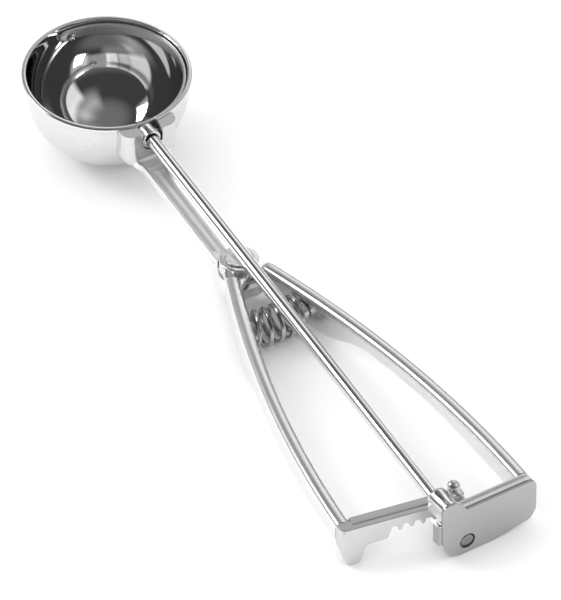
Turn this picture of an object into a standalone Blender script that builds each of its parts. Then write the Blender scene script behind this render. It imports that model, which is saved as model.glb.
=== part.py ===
"""Squeeze-handle ice cream scoop, as separate solids in metres, +Z up, lying on a table.

The bowl points along +X and the handles along -X. The drive rod slopes down to the rear, because
the scoop rests on its round bowl, on the end bar and on the foot of the rack bar. Pieces on the
rod are modelled in the rod's own frame, whose origin is the centre of the bowl, and the handles
in the table's frame below it. Squeezing turns the moving handle about the upright pivot. Its rack
then turns the pinion, the rod and the scraper through half a turn.
"""

import math

import bmesh
import bpy
from mathutils import Matrix, Vector

MM = 0.001

# Clearances
GAP = 0.3 * MM
RUNNING_GAP = 0.1 * MM
SEAT_GAP = 0.15 * MM

# Bowl
BOWL_RADIUS = 24.6 * MM
BOWL_WALL = 0.8 * MM
RIM_RISE = 4.2 * MM
LIP_OVERHANG = 0.65 * MM
LIP_HEIGHT = 1.2 * MM
BOWL_STEPS = 56
ARC_STEPS = 10

# Drive rod and its bearings
ROD_RADIUS = 1.9 * MM
ROD_REAR_HEIGHT = 4.15 * MM
ROD_END_PROUD = 0.7 * MM
ROUND_STEPS = 24
BUSH_RADIUS = 2.95 * MM
BUSH_LENGTH = 4.2 * MM
BUSH_RECESS_RADIUS = 2.45 * MM
BUSH_RECESS_DEPTH = 1.5 * MM
REAR_BUSH_RADIUS = 2.8 * MM

# Scraper
STRIP_HALF_WIDTH = 1.9 * MM
STRIP_OFFSET = 0.75 * MM
STRIP_THICKNESS = 0.9 * MM
STRIP_REST_RISE = math.radians(1.3)
STRIP_TAB_ANGLE = math.radians(9.0)
STRIP_STATIONS = 34
STUB_RADIUS = 0.75 * MM
HUB_RADIUS = 1.4 * MM
HUB_LENGTH = 0.9 * MM
FRONT_PIN_RADIUS = 0.7 * MM
FRONT_HEAD_RADIUS = 1.3 * MM
FRONT_HEAD_HEIGHT = 0.8 * MM

# Neck collar
COLLAR_HALF_WIDTH = 8.8 * MM
COLLAR_LENGTH = 4.0 * MM
COLLAR_DROP = 0.45 * MM
COLLAR_DEPTH = 9.7 * MM
COLLAR_CORNER = 5.0 * MM
COLLAR_ROUND = 3.4 * MM

# Shank and pivot
SHANK_HALF_WIDTH = 4.6 * MM
SHANK_TOP_DROP = 6.6 * MM
SHANK_DEPTH = 3.7 * MM
SHANK_CORNER = 1.8 * MM
SHANK_GROOVE_HALF_WIDTH = 3.6 * MM
SHANK_GROOVE_DEPTH = 2.2 * MM
GROOVE_END_MARGIN = 1.8 * MM
PIVOT_BACK = 79.5 * MM
UPPER_LUG_RADIUS = 5.7 * MM
UPPER_LUG_DROP = 3.2 * MM
UPPER_LUG_THICKNESS = 3.9 * MM
LOWER_LUG_RADIUS = 6.2 * MM
LOWER_LUG_BOTTOM = 3.0 * MM
WASHER_THICKNESS = 0.5 * MM
WASHER_RADIUS = 4.8 * MM
RIVET_RADIUS = 2.0 * MM
RIVET_HEAD_RADIUS = 4.0 * MM
RIVET_HEAD_HEIGHT = 1.0 * MM
RIVET_HEAD_PROUD = 0.5 * MM
RIVET_TAIL_RADIUS = 3.2 * MM
RIVET_TAIL_HEIGHT = 0.8 * MM

# Handle arms: a round-topped bead that overhangs inwards, on a web that is flush outside
BEAD_WIDTH = 4.4 * MM
BEAD_HEIGHT = 3.5 * MM
WEB_THICKNESS = 3.0 * MM
ARM_FRONT = 5.6 * MM
ARM_STATIONS = 26
ARM_FRONT_ROUND = 2.2 * MM
MOVING_ARM_DROP = 0.75 * MM
MOVING_ARM_START = 5.4 * MM
MOVING_ARM_REACH = 31.8 * MM
MOVING_ARM_BOW = 1.7
FIXED_ARM_DROP = 0.4 * MM
FIXED_ARM_START = 6.3 * MM
FIXED_ARM_REACH = 21.7 * MM
FIXED_ARM_BOW = 2.25
FRONT_WEB_BOTTOM = 1.0 * MM
MOVING_WEB_BOTTOM = 4.8 * MM
MOVING_REAR_WEB_BOTTOM = 6.4 * MM
FIXED_WEB_BOTTOM = 6.8 * MM
FIXED_REAR_WEB_BOTTOM = 5.6 * MM
CROTCH_WALL = 2.1 * MM
CROTCH_WALL_RISE = 2.4 * MM

# Rack bar with its foot, rack and pinion
RACK_BAR_THICKNESS = 3.6 * MM
RACK_BAR_REAR = 196.6 * MM
RACK_BAR_TILT = math.radians(9.2)
RACK_INNER_END = 3.2 * MM
FOOT_OUTER = 31.4 * MM
FOOT_INNER = 25.2 * MM
FOOT_CONTACT = 2.6 * MM
BAR_UNDERSIDE = 5.75 * MM
RACK_PITCH = 3.25 * MM
PINION_TEETH = 7
RACK_GAP_COUNT = 7
RACK_TIP_WIDTH = 0.7 * MM
RACK_ROOT_WIDTH = 1.9 * MM
ADDENDUM = 0.75 * MM
DEDENDUM = 0.95 * MM
PINION_TIP_WIDTH = 0.65 * MM
PINION_ROOT_WIDTH = 1.5 * MM
RACK_PHASE = 1.3 * MM
SCRAPER_SWEEP = math.pi
STOP_BALL_RADIUS = 1.9 * MM
STOP_NECK_RADIUS = 1.15 * MM
STOP_BALL_HEIGHT = 3.5 * MM
STOP_LEAN = 1.5 * MM

# End bar, cover plate and rack guide
END_BAR_FRONT = 199.55 * MM
END_BAR_TILT = math.radians(1.6)
END_BAR_THICKNESS = 2.8 * MM
END_BAR_RISE = 2.75 * MM
END_BAR_LEFT = 7.9 * MM
SHOULDER_RISE = 0.2 * MM
PLATE_THICKNESS = 0.8 * MM
PLATE_CORNER = 2.4 * MM
PLATE_BUMP_RADIUS = 3.4 * MM
PLATE_BUMP_RISE = 0.5 * MM
PLATE_LIP = 2.4 * MM
GUIDE_CENTRE = 4.5 * MM
GUIDE_RADIUS = 3.1 * MM
GUIDE_WALL = 0.8 * MM
GUIDE_RISE = 6.15 * MM
GUIDE_FRONT = 195.2 * MM

# Return spring and its pegs
WIRE_RADIUS = 0.8 * MM
COIL_RADIUS = 6.25 * MM
SPRING_DROP = 6.55 * MM
SPRING_BACK = 20.4 * MM
SPRING_TURNS = 4.5
TURN_STEPS = 10
PEG_RADIUS = 3.0 * MM
PEG_LENGTH = 3.4 * MM

# Derived sizes
ROD_REAR = END_BAR_FRONT + END_BAR_THICKNESS + GAP + PLATE_THICKNESS + ROD_END_PROUD
ROD_SLOPE = math.asin((BOWL_RADIUS - ROD_REAR_HEIGHT) / ROD_REAR)
BOWL_INSIDE = BOWL_RADIUS - BOWL_WALL
COLLAR_TOP = RIM_RISE - COLLAR_DROP
COLLAR_REAR = BOWL_RADIUS + COLLAR_LENGTH
LIP_RADIUS = BOWL_RADIUS + LIP_OVERHANG
STRIP_RADIUS = BOWL_INSIDE - GAP
BORE_RADIUS = ROD_RADIUS + RUNNING_GAP
PITCH_RADIUS = RACK_PITCH * PINION_TEETH / math.tau
UPPER_LUG_TOP = BOWL_RADIUS - PIVOT_BACK * math.tan(ROD_SLOPE) - UPPER_LUG_DROP
UPPER_LUG_BOTTOM = UPPER_LUG_TOP - UPPER_LUG_THICKNESS
MOVING_ARM_TOP = UPPER_LUG_TOP - MOVING_ARM_DROP
FIXED_ARM_FRONT_TOP = UPPER_LUG_TOP - FIXED_ARM_DROP
SPRING_HEIGHT = MOVING_ARM_TOP - SPRING_DROP
SHOULDER_TOP = MOVING_ARM_TOP + SHOULDER_RISE
END_BAR_TOP = MOVING_ARM_TOP + END_BAR_RISE
GUIDE_TOP = MOVING_ARM_TOP + GUIDE_RISE
PLATE_BUMP_TOP = GUIDE_TOP + PLATE_BUMP_RISE
LOWER_LUG_TOP = UPPER_LUG_BOTTOM - WASHER_THICKNESS - 2 * SEAT_GAP
MOVING_ARM_LENGTH = RACK_BAR_REAR - RACK_BAR_THICKNESS - PIVOT_BACK
FIXED_ARM_LENGTH = END_BAR_FRONT - GAP - PIVOT_BACK
GEAR_LEVER = RACK_BAR_REAR - RACK_BAR_THICKNESS / 2 - PIVOT_BACK
GEAR_RATIO = GEAR_LEVER / PITCH_RADIUS
SQUEEZE_ANGLE = SCRAPER_SWEEP / GEAR_RATIO
PINION_FRONT = RACK_BAR_REAR - RACK_BAR_THICKNESS - 1.5 * MM
PINION_REAR = END_BAR_FRONT - GAP - 0.5 * MM
PLATE_FRONT = END_BAR_FRONT + END_BAR_THICKNESS + GAP

UP = Vector((0, 0, 1))


def clear_scene():
    for old in list(bpy.data.objects):
        bpy.data.objects.remove(old, do_unlink=True)


def new_collection(name):
    collection = bpy.data.collections.new(name)
    bpy.context.scene.collection.children.link(collection)
    return collection


def steel(name, colour, roughness):
    """A metallic Principled material."""
    made = bpy.data.materials.new(name)
    made.use_nodes = True
    shader = made.node_tree.nodes["Principled BSDF"]
    shader.inputs["Base Color"].default_value = (*colour, 1)
    shader.inputs["Metallic"].default_value = 1.0
    shader.inputs["Roughness"].default_value = roughness
    made.diffuse_color = (*colour, 1)
    return made


def empty(name, parent, location=(0, 0, 0), rotation=(0, 0, 0)):
    made = bpy.data.objects.new(name, None)
    made.empty_display_size = 10 * MM
    parts.objects.link(made)
    made.parent = parent
    made.location = location
    made.rotation_euler = rotation
    return made


def place(made, parent, location=(0, 0, 0), rotation=(0, 0, 0)):
    made.parent = parent
    made.location = location
    made.rotation_euler = rotation
    return made


def from_bmesh(name, shape, material=None):
    """Turns a bmesh into an object: a part if it has a material, otherwise a cutter."""
    bmesh.ops.recalc_face_normals(shape, faces=shape.faces)
    mesh = bpy.data.meshes.new(name)
    shape.to_mesh(mesh)
    shape.free()
    return from_mesh(name, mesh, material)


def from_mesh(name, mesh, material=None):
    made = bpy.data.objects.new(name, mesh)
    if material:
        parts.objects.link(made)
        mesh.materials.append(material)
        mesh.shade_smooth()
        mesh.set_sharp_from_angle(angle=math.radians(35))
    else:
        cutters.objects.link(made)
        made.hide_render = True
        made.display_type = "WIRE"
    return made


def curve_to_mesh(curve_object, material):
    """The curve's evaluated mesh with its caps welded on, in place of the curve."""
    bpy.context.view_layer.update()
    evaluated = curve_object.evaluated_get(bpy.context.evaluated_depsgraph_get())
    mesh = bpy.data.meshes.new_from_object(evaluated)
    shape = bmesh.new()
    shape.from_mesh(mesh)
    bmesh.ops.remove_doubles(shape, verts=shape.verts, dist=0.00001)
    name = curve_object.name
    curve_object.name = name + "_curve"
    made = from_bmesh(name, shape, material)
    made.matrix_world = curve_object.matrix_world
    bpy.data.objects.remove(curve_object, do_unlink=True)
    bpy.data.meshes.remove(mesh)
    return made


def flat(name, outlines, thickness, material=None):
    """A flat plate in its local XY plane, from closed outlines, centred on the plane."""
    curve = bpy.data.curves.new(name, "CURVE")
    curve.dimensions = "2D"
    curve.fill_mode = "BOTH"
    curve.extrude = thickness / 2
    for outline in outlines:
        spline = curve.splines.new("POLY")
        spline.points.add(len(outline) - 1)
        for point, (x, y) in zip(spline.points, outline):
            point.co = (x, y, 0, 1)
        spline.use_cyclic_u = True
    made = bpy.data.objects.new(name, curve)
    parts.objects.link(made)
    return curve_to_mesh(made, material)


def turned(name, profile, steps, material=None):
    """A profile of (radius, height) turned about local Z, with both ends on the axis."""
    shape = bmesh.new()
    points = [shape.verts.new((radius, 0, height)) for radius, height in profile]
    for first, second in zip(points, points[1:]):
        shape.edges.new((first, second))
    mesh = bpy.data.meshes.new(name)
    shape.to_mesh(mesh)
    shape.free()
    made = from_mesh(name, mesh, material)
    screw = made.modifiers.new("turn", "SCREW")
    screw.steps = screw.render_steps = steps
    screw.use_merge_vertices = True
    screw.merge_threshold = 0.00001
    screw.use_smooth_shade = True
    return made


def loft(name, rings, material=None):
    """Joins rings of equally many points into one closed skin with flat ends."""
    shape = bmesh.new()
    rows = [[shape.verts.new(point) for point in ring] for ring in rings]
    count = len(rows[0])
    for first, second in zip(rows, rows[1:]):
        for i in range(count):
            j = (i + 1) % count
            shape.faces.new((first[i], first[j], second[j], second[i]))
    shape.faces.new(rows[0])
    shape.faces.new(reversed(rows[-1]))
    return from_bmesh(name, shape, material)


def rod_round(name, sections, material=None, steps=ROUND_STEPS):
    """A round piece on the rod's axis, from (x, radius) sections in order along -X."""
    rings = []
    for x, radius in sections:
        ring = [(x, radius * math.cos(a), radius * math.sin(a)) for a in angles(steps)]
        rings.append(ring)
    return loft(name, rings, material)


def upright_round(name, sections, material=None, steps=ROUND_STEPS):
    """A round piece about local Z, from (height, radius) sections in order."""
    rings = []
    for height, radius in sections:
        rings.append([(radius * math.cos(a), radius * math.sin(a), height) for a in angles(steps)])
    return loft(name, rings, material)


def angles(steps, start=0.0, end=math.tau):
    return [start + (end - start) * i / steps for i in range(steps)]


def rounded(corners, steps=3):
    """A closed outline from (x, y, radius) corners, with an arc in place of each rounded corner."""
    points = []
    for i, (x, y, radius) in enumerate(corners):
        here = Vector((x, y))
        before = Vector(corners[i - 1][:2]) - here
        after = Vector(corners[(i + 1) % len(corners)][:2]) - here
        if not radius:
            points.append((x, y))
            continue
        half = before.angle(after) / 2
        reach = min(radius / math.tan(half), 0.49 * before.length, 0.49 * after.length)
        start, end = here + before.normalized() * reach, here + after.normalized() * reach
        for k in range(steps + 1):
            share = k / steps
            point = start.lerp(here, share).lerp(here.lerp(end, share), share)
            points.append((point.x, point.y))
    return points


def arc(centre, radius, start, end, steps):
    """Points on an arc, both ends included, as (u, v) pairs."""
    points = []
    for i in range(steps + 1):
        a = start + (end - start) * i / steps
        points.append((centre[0] + radius * math.cos(a), centre[1] + radius * math.sin(a)))
    return points


def cut(made, *tools, operation="DIFFERENCE"):
    for tool in tools:
        boolean = made.modifiers.new(tool.name, "BOOLEAN")
        boolean.operation = operation
        boolean.object = tool
        boolean.solver = "EXACT"
    return made


def axis_height(back):
    """Height of the rod's axis over the table, at a distance behind the bowl's centre."""
    return BOWL_RADIUS - back * math.tan(ROD_SLOPE)


def along_rod(back):
    """Distance along the rod that lies at a level distance behind the bowl's centre."""
    return back / math.cos(ROD_SLOPE)


def smooth(value, low, high):
    share = min(1.0, max(0.0, (value - low) / (high - low)))
    return share * share * (3 - 2 * share)


def make_bowl():
    inner = [(BOWL_INSIDE * math.sin(a), -BOWL_INSIDE * math.cos(a)) for a in quarter()]
    outer = [(BOWL_RADIUS * math.sin(a), -BOWL_RADIUS * math.cos(a)) for a in reversed(quarter())]
    edge = 0.35 * MM
    lip = [
        (BOWL_INSIDE, RIM_RISE - edge),
        (BOWL_INSIDE + edge, RIM_RISE),
        (LIP_RADIUS - edge, RIM_RISE),
        (LIP_RADIUS, RIM_RISE - edge),
        (LIP_RADIUS, RIM_RISE - LIP_HEIGHT + edge),
        (BOWL_RADIUS, RIM_RISE - LIP_HEIGHT),
    ]
    bowl = turned("bowl", inner + lip + outer, BOWL_STEPS, satin)
    place(bowl, rod_frame)
    hole_radius = FRONT_PIN_RADIUS + RUNNING_GAP
    hole_sections = [(BOWL_RADIUS + 2 * GAP, hole_radius), (BOWL_INSIDE - BOWL_WALL, hole_radius)]
    pin_hole = rod_round("front_pin_hole", hole_sections)
    place(pin_hole, rod_frame)
    return cut(bowl, pin_hole, bush_seat)


def quarter():
    return [math.pi / 2 * i / ARC_STEPS for i in range(ARC_STEPS + 1)]


def make_bush_seat():
    """Cutter for the half-round seat of the bush, open to the top, in the bowl and the collar."""
    radius = BUSH_RADIUS + GAP
    outline = arc((0, 0), radius, math.pi, math.tau, 16)
    outline += [(radius, RIM_RISE + LIP_HEIGHT), (-radius, RIM_RISE + LIP_HEIGHT)]
    length = COLLAR_REAR - BOWL_INSIDE + 6 * MM
    seat = flat("bush_seat", [outline], length)
    return place(seat, rod_frame, (-(COLLAR_REAR + BOWL_INSIDE) / 2, 0, 0), (math.pi / 2, 0, math.pi / 2))


def make_collar():
    """A saddle behind the bowl, as sections that narrow round its two rear corners."""
    front = BOWL_INSIDE * math.cos(math.asin(COLLAR_HALF_WIDTH / BOWL_INSIDE)) - 4 * MM
    rings = []
    for turn in [0, *arc_angles(4)]:
        inset = COLLAR_ROUND * (1 - math.cos(turn))
        x = COLLAR_REAR - COLLAR_ROUND * (1 - math.sin(turn)) if rings else front
        wide, deep = COLLAR_HALF_WIDTH - inset, COLLAR_DEPTH - 0.5 * inset
        corner = COLLAR_CORNER - 0.5 * inset
        ring = [(-x, -wide, COLLAR_TOP)]
        left_corner = arc((-wide + corner, -deep + corner), corner, math.pi, 1.5 * math.pi, 5)
        right_corner = arc((wide - corner, -deep + corner), corner, 1.5 * math.pi, math.tau, 5)
        ring += [(-x, y, z) for y, z in left_corner + right_corner]
        ring.append((-x, wide, COLLAR_TOP))
        rings.append(ring)
    collar = place(loft("neck_collar", rings, satin), rod_frame)
    over = 2 * MM
    profile = [(0, RIM_RISE + over), (LIP_RADIUS + GAP, RIM_RISE + over)]
    profile += [(LIP_RADIUS + GAP, RIM_RISE - LIP_HEIGHT), (BOWL_RADIUS + GAP, RIM_RISE - LIP_HEIGHT - GAP)]
    radius = BOWL_RADIUS + GAP
    profile += [(radius * math.sin(a), -radius * math.cos(a)) for a in reversed(quarter())]
    bowl_room = place(turned("bowl_room", profile, BOWL_STEPS), rod_frame)
    return cut(collar, bowl_room, bush_seat)


def arc_angles(steps):
    return [math.pi / 2 * i / steps for i in range(steps + 1)]


def make_rod_bush():
    front = -(BOWL_INSIDE + GAP / 2)
    rear = front - BUSH_LENGTH
    bush = rod_round("rod_bush", [(front, BUSH_RADIUS), (rear, BUSH_RADIUS)], polished, 28)
    bore = rod_round("bush_bore", [(front + GAP, BORE_RADIUS), (rear - GAP, BORE_RADIUS)])
    recess_sections = [(rear + BUSH_RECESS_DEPTH, BUSH_RECESS_RADIUS), (rear - GAP, BUSH_RECESS_RADIUS)]
    recess = rod_round("bush_recess", recess_sections, None, 28)
    for piece in (bush, bore, recess):
        place(piece, rod_frame)
    return cut(bush, bore, recess)


def make_shank():
    """The grooved bar under the rod, with the lower lug of the pivot at its rear end."""
    top = -SHANK_TOP_DROP
    bottom = top - SHANK_DEPTH
    wide = SHANK_HALF_WIDTH
    corner = SHANK_CORNER
    front = COLLAR_REAR + GAP
    rear = along_rod(PIVOT_BACK - 0.6 * UPPER_LUG_RADIUS)
    outline = [(-wide, top), *arc((-wide + corner, bottom + corner), corner, math.pi, 1.5 * math.pi, 4)]
    outline += [*arc((wide - corner, bottom + corner), corner, 1.5 * math.pi, math.tau, 4), (wide, top)]
    shank = flat("shank", [outline], rear - front, satin)
    place(shank, rod_frame, (-(front + rear) / 2, 0, 0), (math.pi / 2, 0, math.pi / 2))

    across, deep = SHANK_GROOVE_HALF_WIDTH, SHANK_GROOVE_DEPTH
    radius = (across * across + deep * deep) / (2 * deep)
    ends = 1.5 * MM
    groove_rear = along_rod(PIVOT_BACK - UPPER_LUG_RADIUS) - GROOVE_END_MARGIN
    sections = [
        (-front - GROOVE_END_MARGIN, radius - ends),
        (-front - GROOVE_END_MARGIN - ends, radius),
        (-groove_rear + ends, radius),
        (-groove_rear, radius - ends),
    ]
    groove = rod_round("shank_groove", sections, None, 32)
    place(groove, rod_frame, (0, 0, top - deep + radius))

    over = 0.5 * MM
    lug_sections = [(LOWER_LUG_BOTTOM, LOWER_LUG_RADIUS), (LOWER_LUG_TOP + over, LOWER_LUG_RADIUS)]
    lug = upright_round("lower_lug", lug_sections, None, 36)
    place(lug, pivot)
    bridge = place(make_bridge(rear), scoop)
    bore_radius = RIVET_RADIUS + RUNNING_GAP
    bore = place(upright_round("lug_bore", [(0, bore_radius), (UPPER_LUG_TOP, bore_radius)]), pivot)
    room_radius = LOWER_LUG_RADIUS + GAP
    room_sections = [(LOWER_LUG_TOP, room_radius), (UPPER_LUG_TOP + 4 * MM, room_radius)]
    room = place(upright_round("upper_lug_room", room_sections, None, 36), pivot)
    cut(shank, groove)
    cut(shank, bridge, lug, operation="UNION")
    return cut(shank, room, bore)


def make_bridge(rear):
    """Tapered block from inside the shank's end down to the lower lug."""
    start = rear - 14 * MM
    low = axis_height(start) - SHANK_TOP_DROP - SHANK_DEPTH + 0.3 * MM
    stations = [
        (-start, SHANK_HALF_WIDTH - 0.4 * MM, low, low + 0.9 * MM),
        (-rear, SHANK_HALF_WIDTH + 0.6 * MM, LOWER_LUG_BOTTOM + 0.8 * MM, LOWER_LUG_TOP - 0.1 * MM),
        (-PIVOT_BACK, LOWER_LUG_RADIUS - 0.1 * MM, LOWER_LUG_BOTTOM + 0.2 * MM, LOWER_LUG_TOP - 0.2 * MM),
    ]
    rings = []
    for x, wide, bottom, top in stations:
        rings.append([(x, -wide, bottom), (x, wide, bottom), (x, wide, top), (x, -wide, top)])
    return loft("lug_bridge", rings)


def make_pivot():
    """The rivet through both lugs, with its head sunk in the upper one, and the washer."""
    head_top = UPPER_LUG_TOP + RIVET_HEAD_PROUD
    head_bottom = head_top - RIVET_HEAD_HEIGHT
    tail_top = LOWER_LUG_BOTTOM - SEAT_GAP
    sections = [
        (tail_top - RIVET_TAIL_HEIGHT, RIVET_TAIL_RADIUS * 0.75),
        (tail_top - RIVET_TAIL_HEIGHT / 2, RIVET_TAIL_RADIUS),
        (tail_top, RIVET_TAIL_RADIUS),
        (tail_top, RIVET_RADIUS),
        (head_bottom, RIVET_RADIUS),
        (head_bottom, RIVET_HEAD_RADIUS),
        (head_top - 0.2 * MM, RIVET_HEAD_RADIUS),
        (head_top, RIVET_HEAD_RADIUS - 0.3 * MM),
    ]
    place(upright_round("pivot_rivet", sections, satin, 28), pivot)
    low = LOWER_LUG_TOP + SEAT_GAP
    circle = [(WASHER_RADIUS * math.cos(a), WASHER_RADIUS * math.sin(a)) for a in angles(28)]
    hole_radius = RIVET_RADIUS + RUNNING_GAP
    hole = [(hole_radius * math.cos(a), hole_radius * math.sin(a)) for a in angles(ROUND_STEPS)]
    washer = flat("pivot_washer", [circle, hole], WASHER_THICKNESS, polished)
    place(washer, pivot, (0, 0, low + WASHER_THICKNESS / 2))


def arm_line(back, start, reach, bow, length):
    """Distance from the rod's plane to an arm's outer face, at a distance behind the pivot."""
    share = back / length
    return start + (reach - start) * (bow * share - (bow - 1) * share * share)


def arm_section(depth):
    """The arm's section as (inward from the outer face, down from the top)."""
    edge = 0.5 * MM
    wide = BEAD_WIDTH
    return [
        (edge, depth),
        (0, depth - edge),
        (0, 0.40 * BEAD_HEIGHT),
        (0.10 * wide, 0.14 * BEAD_HEIGHT),
        (0.28 * wide, 0.02 * BEAD_HEIGHT),
        (0.50 * wide, 0),
        (0.72 * wide, 0.02 * BEAD_HEIGHT),
        (0.90 * wide, 0.14 * BEAD_HEIGHT),
        (wide, 0.42 * BEAD_HEIGHT),
        (0.97 * wide, 0.72 * BEAD_HEIGHT),
        (0.86 * wide, 0.88 * BEAD_HEIGHT),
        (WEB_THICKNESS, BEAD_HEIGHT),
        (WEB_THICKNESS, depth - edge),
        (WEB_THICKNESS - edge, depth),
    ]


def inward(line, side, back):
    """Level direction square to an arm's outer face, towards the rod's plane."""
    step = 0.1 * MM
    slope = (line(back + step) - line(back - step)) / (2 * step)
    return Vector((-slope, -side, 0)).normalized()


def arm_rings(side, line, length, end_across, top_at, bottom_at):
    """Sections of an arm from its round nose to its rear end, about the pivot's axis."""
    rings = []
    for i in range(ARM_STATIONS + 1):
        back = ARM_FRONT + (length - GAP - ARM_FRONT) * i / ARM_STATIONS
        across = inward(line, side, back) if i < ARM_STATIONS else end_across
        origin = Vector((-back, side * line(back), top_at(back)))
        depth = top_at(back) - bottom_at(back)
        rings.append([origin + across * wide - UP * down for wide, down in arm_section(depth)])
    centre = sum(rings[0], Vector()) / len(rings[0])
    ahead = UP.cross(inward(line, side, ARM_FRONT)) * side
    for turn in (math.radians(35), math.radians(65)):
        shrink = 0.35 + 0.65 * math.cos(turn)
        forward = ahead * ARM_FRONT_ROUND * math.sin(turn)
        rings.insert(0, [centre + (point - centre) * shrink + forward for point in rings[-ARM_STATIONS - 1]])
    return rings


def moving_top(back):
    return MOVING_ARM_TOP


def moving_bottom(back):
    share = back / MOVING_ARM_LENGTH
    middle = FRONT_WEB_BOTTOM + (MOVING_WEB_BOTTOM - FRONT_WEB_BOTTOM) * smooth(share, 0.22, 0.42)
    return middle + (MOVING_REAR_WEB_BOTTOM - MOVING_WEB_BOTTOM) * smooth(share, 0.75, 0.9)


def fixed_top(back):
    return FIXED_ARM_FRONT_TOP + (END_BAR_TOP - FIXED_ARM_FRONT_TOP) * back / FIXED_ARM_LENGTH


def fixed_bottom(back):
    share = back / FIXED_ARM_LENGTH
    middle = FRONT_WEB_BOTTOM + (FIXED_WEB_BOTTOM - FRONT_WEB_BOTTOM) * smooth(share, 0.22, 0.4)
    return middle + (FIXED_REAR_WEB_BOTTOM - FIXED_WEB_BOTTOM) * smooth(share, 0.6, 0.85)


def moving_line(back):
    return arm_line(back, MOVING_ARM_START, MOVING_ARM_REACH, MOVING_ARM_BOW, MOVING_ARM_LENGTH)


def fixed_line(back):
    return arm_line(back, FIXED_ARM_START, FIXED_ARM_REACH, FIXED_ARM_BOW, FIXED_ARM_LENGTH)


def make_moving_handle():
    """The left arm with its lug, which turns on the pivot."""
    end_across = Vector((-math.sin(RACK_BAR_TILT), -math.cos(RACK_BAR_TILT), 0))
    rings = arm_rings(1, moving_line, moving_rear(), end_across, moving_top, moving_bottom)
    handle = place(loft("moving_handle", rings, satin), pivot)
    lug_sections = [(UPPER_LUG_BOTTOM, UPPER_LUG_RADIUS), (UPPER_LUG_TOP, UPPER_LUG_RADIUS)]
    lug = upright_round("upper_lug", lug_sections, None, 36)
    root = place(make_arm_root(), pivot)
    head_room = RIVET_HEAD_RADIUS + 0.25 * MM
    seat_height = UPPER_LUG_TOP + RIVET_HEAD_PROUD - RIVET_HEAD_HEIGHT - SEAT_GAP
    seat_sections = [(seat_height, head_room), (UPPER_LUG_TOP + 2 * MM, head_room)]
    seat = upright_round("rivet_seat", seat_sections, None, 28)
    bore_radius = RIVET_RADIUS + RUNNING_GAP
    bore_sections = [(UPPER_LUG_BOTTOM - MM, bore_radius), (UPPER_LUG_TOP + MM, bore_radius)]
    bore = upright_round("upper_bore", bore_sections)
    for tool in (lug, seat, bore):
        place(tool, pivot)
    cut(handle, root, lug, operation="UNION")
    return cut(handle, seat, bore)


def make_arm_root():
    """The ramp that joins the upper lug to the front of the moving arm."""
    low = UPPER_LUG_BOTTOM
    radius = UPPER_LUG_RADIUS - 0.1 * MM
    top = MOVING_ARM_TOP
    middle, rear = ARM_FRONT + 1.6 * MM, ARM_FRONT + 4.4 * MM
    stations = [
        (-1.2 * MM, radius - 0.2 * MM, -radius + 0.3 * MM, UPPER_LUG_TOP - 0.15 * MM),
        (2.0 * MM, moving_line(2.0 * MM) + 0.1 * MM, -radius + 0.6 * MM, UPPER_LUG_TOP - 0.3 * MM),
        (ARM_FRONT - 1.0 * MM, moving_line(ARM_FRONT - MM), -1.6 * MM, top - 0.3 * BEAD_HEIGHT),
        (middle, moving_line(middle) - 0.2 * MM, 1.6 * MM, top - 0.4 * BEAD_HEIGHT),
        (rear, moving_line(rear) - 0.6 * MM, 5.2 * MM, top - 0.5 * BEAD_HEIGHT),
    ]
    rings = []
    for back, outer, inner, high in stations:
        rings.append([(-back, inner, low), (-back, outer, low), (-back, outer, high), (-back, inner, high)])
    return loft("arm_root", rings)


def moving_rear():
    """Length of the moving arm, to the front face of the tilted rack bar at the arm's outer face."""
    slant = RACK_BAR_THICKNESS - RACK_BAR_THICKNESS / math.cos(RACK_BAR_TILT)
    return MOVING_ARM_LENGTH - MOVING_ARM_REACH * math.tan(RACK_BAR_TILT) + slant


def make_fixed_handle():
    """The right arm, with the round crotch wall that joins it to the lower lug."""
    end_across = Vector((-math.sin(END_BAR_TILT), math.cos(END_BAR_TILT), 0))
    rear = FIXED_ARM_LENGTH - FIXED_ARM_REACH * math.tan(END_BAR_TILT)
    rings = arm_rings(-1, fixed_line, rear, end_across, fixed_top, fixed_bottom)
    handle = place(loft("fixed_handle", rings, satin), pivot)
    inner = LOWER_LUG_RADIUS + GAP
    outer = inner + CROTCH_WALL
    start, end = math.radians(157), math.radians(236)
    outline = arc((0, 0), inner, start, end, 10) + arc((0, 0), outer, end, start, 10)
    low = LOWER_LUG_BOTTOM + CROTCH_WALL_RISE
    thickness = LOWER_LUG_TOP - low
    wall = place(flat("crotch_wall", [outline], thickness), pivot, (0, 0, low + thickness / 2))
    return cut(handle, wall, operation="UNION")


def rack_frame_matrix():
    """Local X along the bar outwards from the rod's plane, local Y up, local Z through its thickness."""
    turn = Matrix.Rotation(math.pi / 2 - RACK_BAR_TILT, 4, "Z") @ Matrix.Rotation(math.pi / 2, 4, "X")
    return Matrix.Translation((PIVOT_BACK - RACK_BAR_REAR, 0, 0)) @ turn


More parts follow.
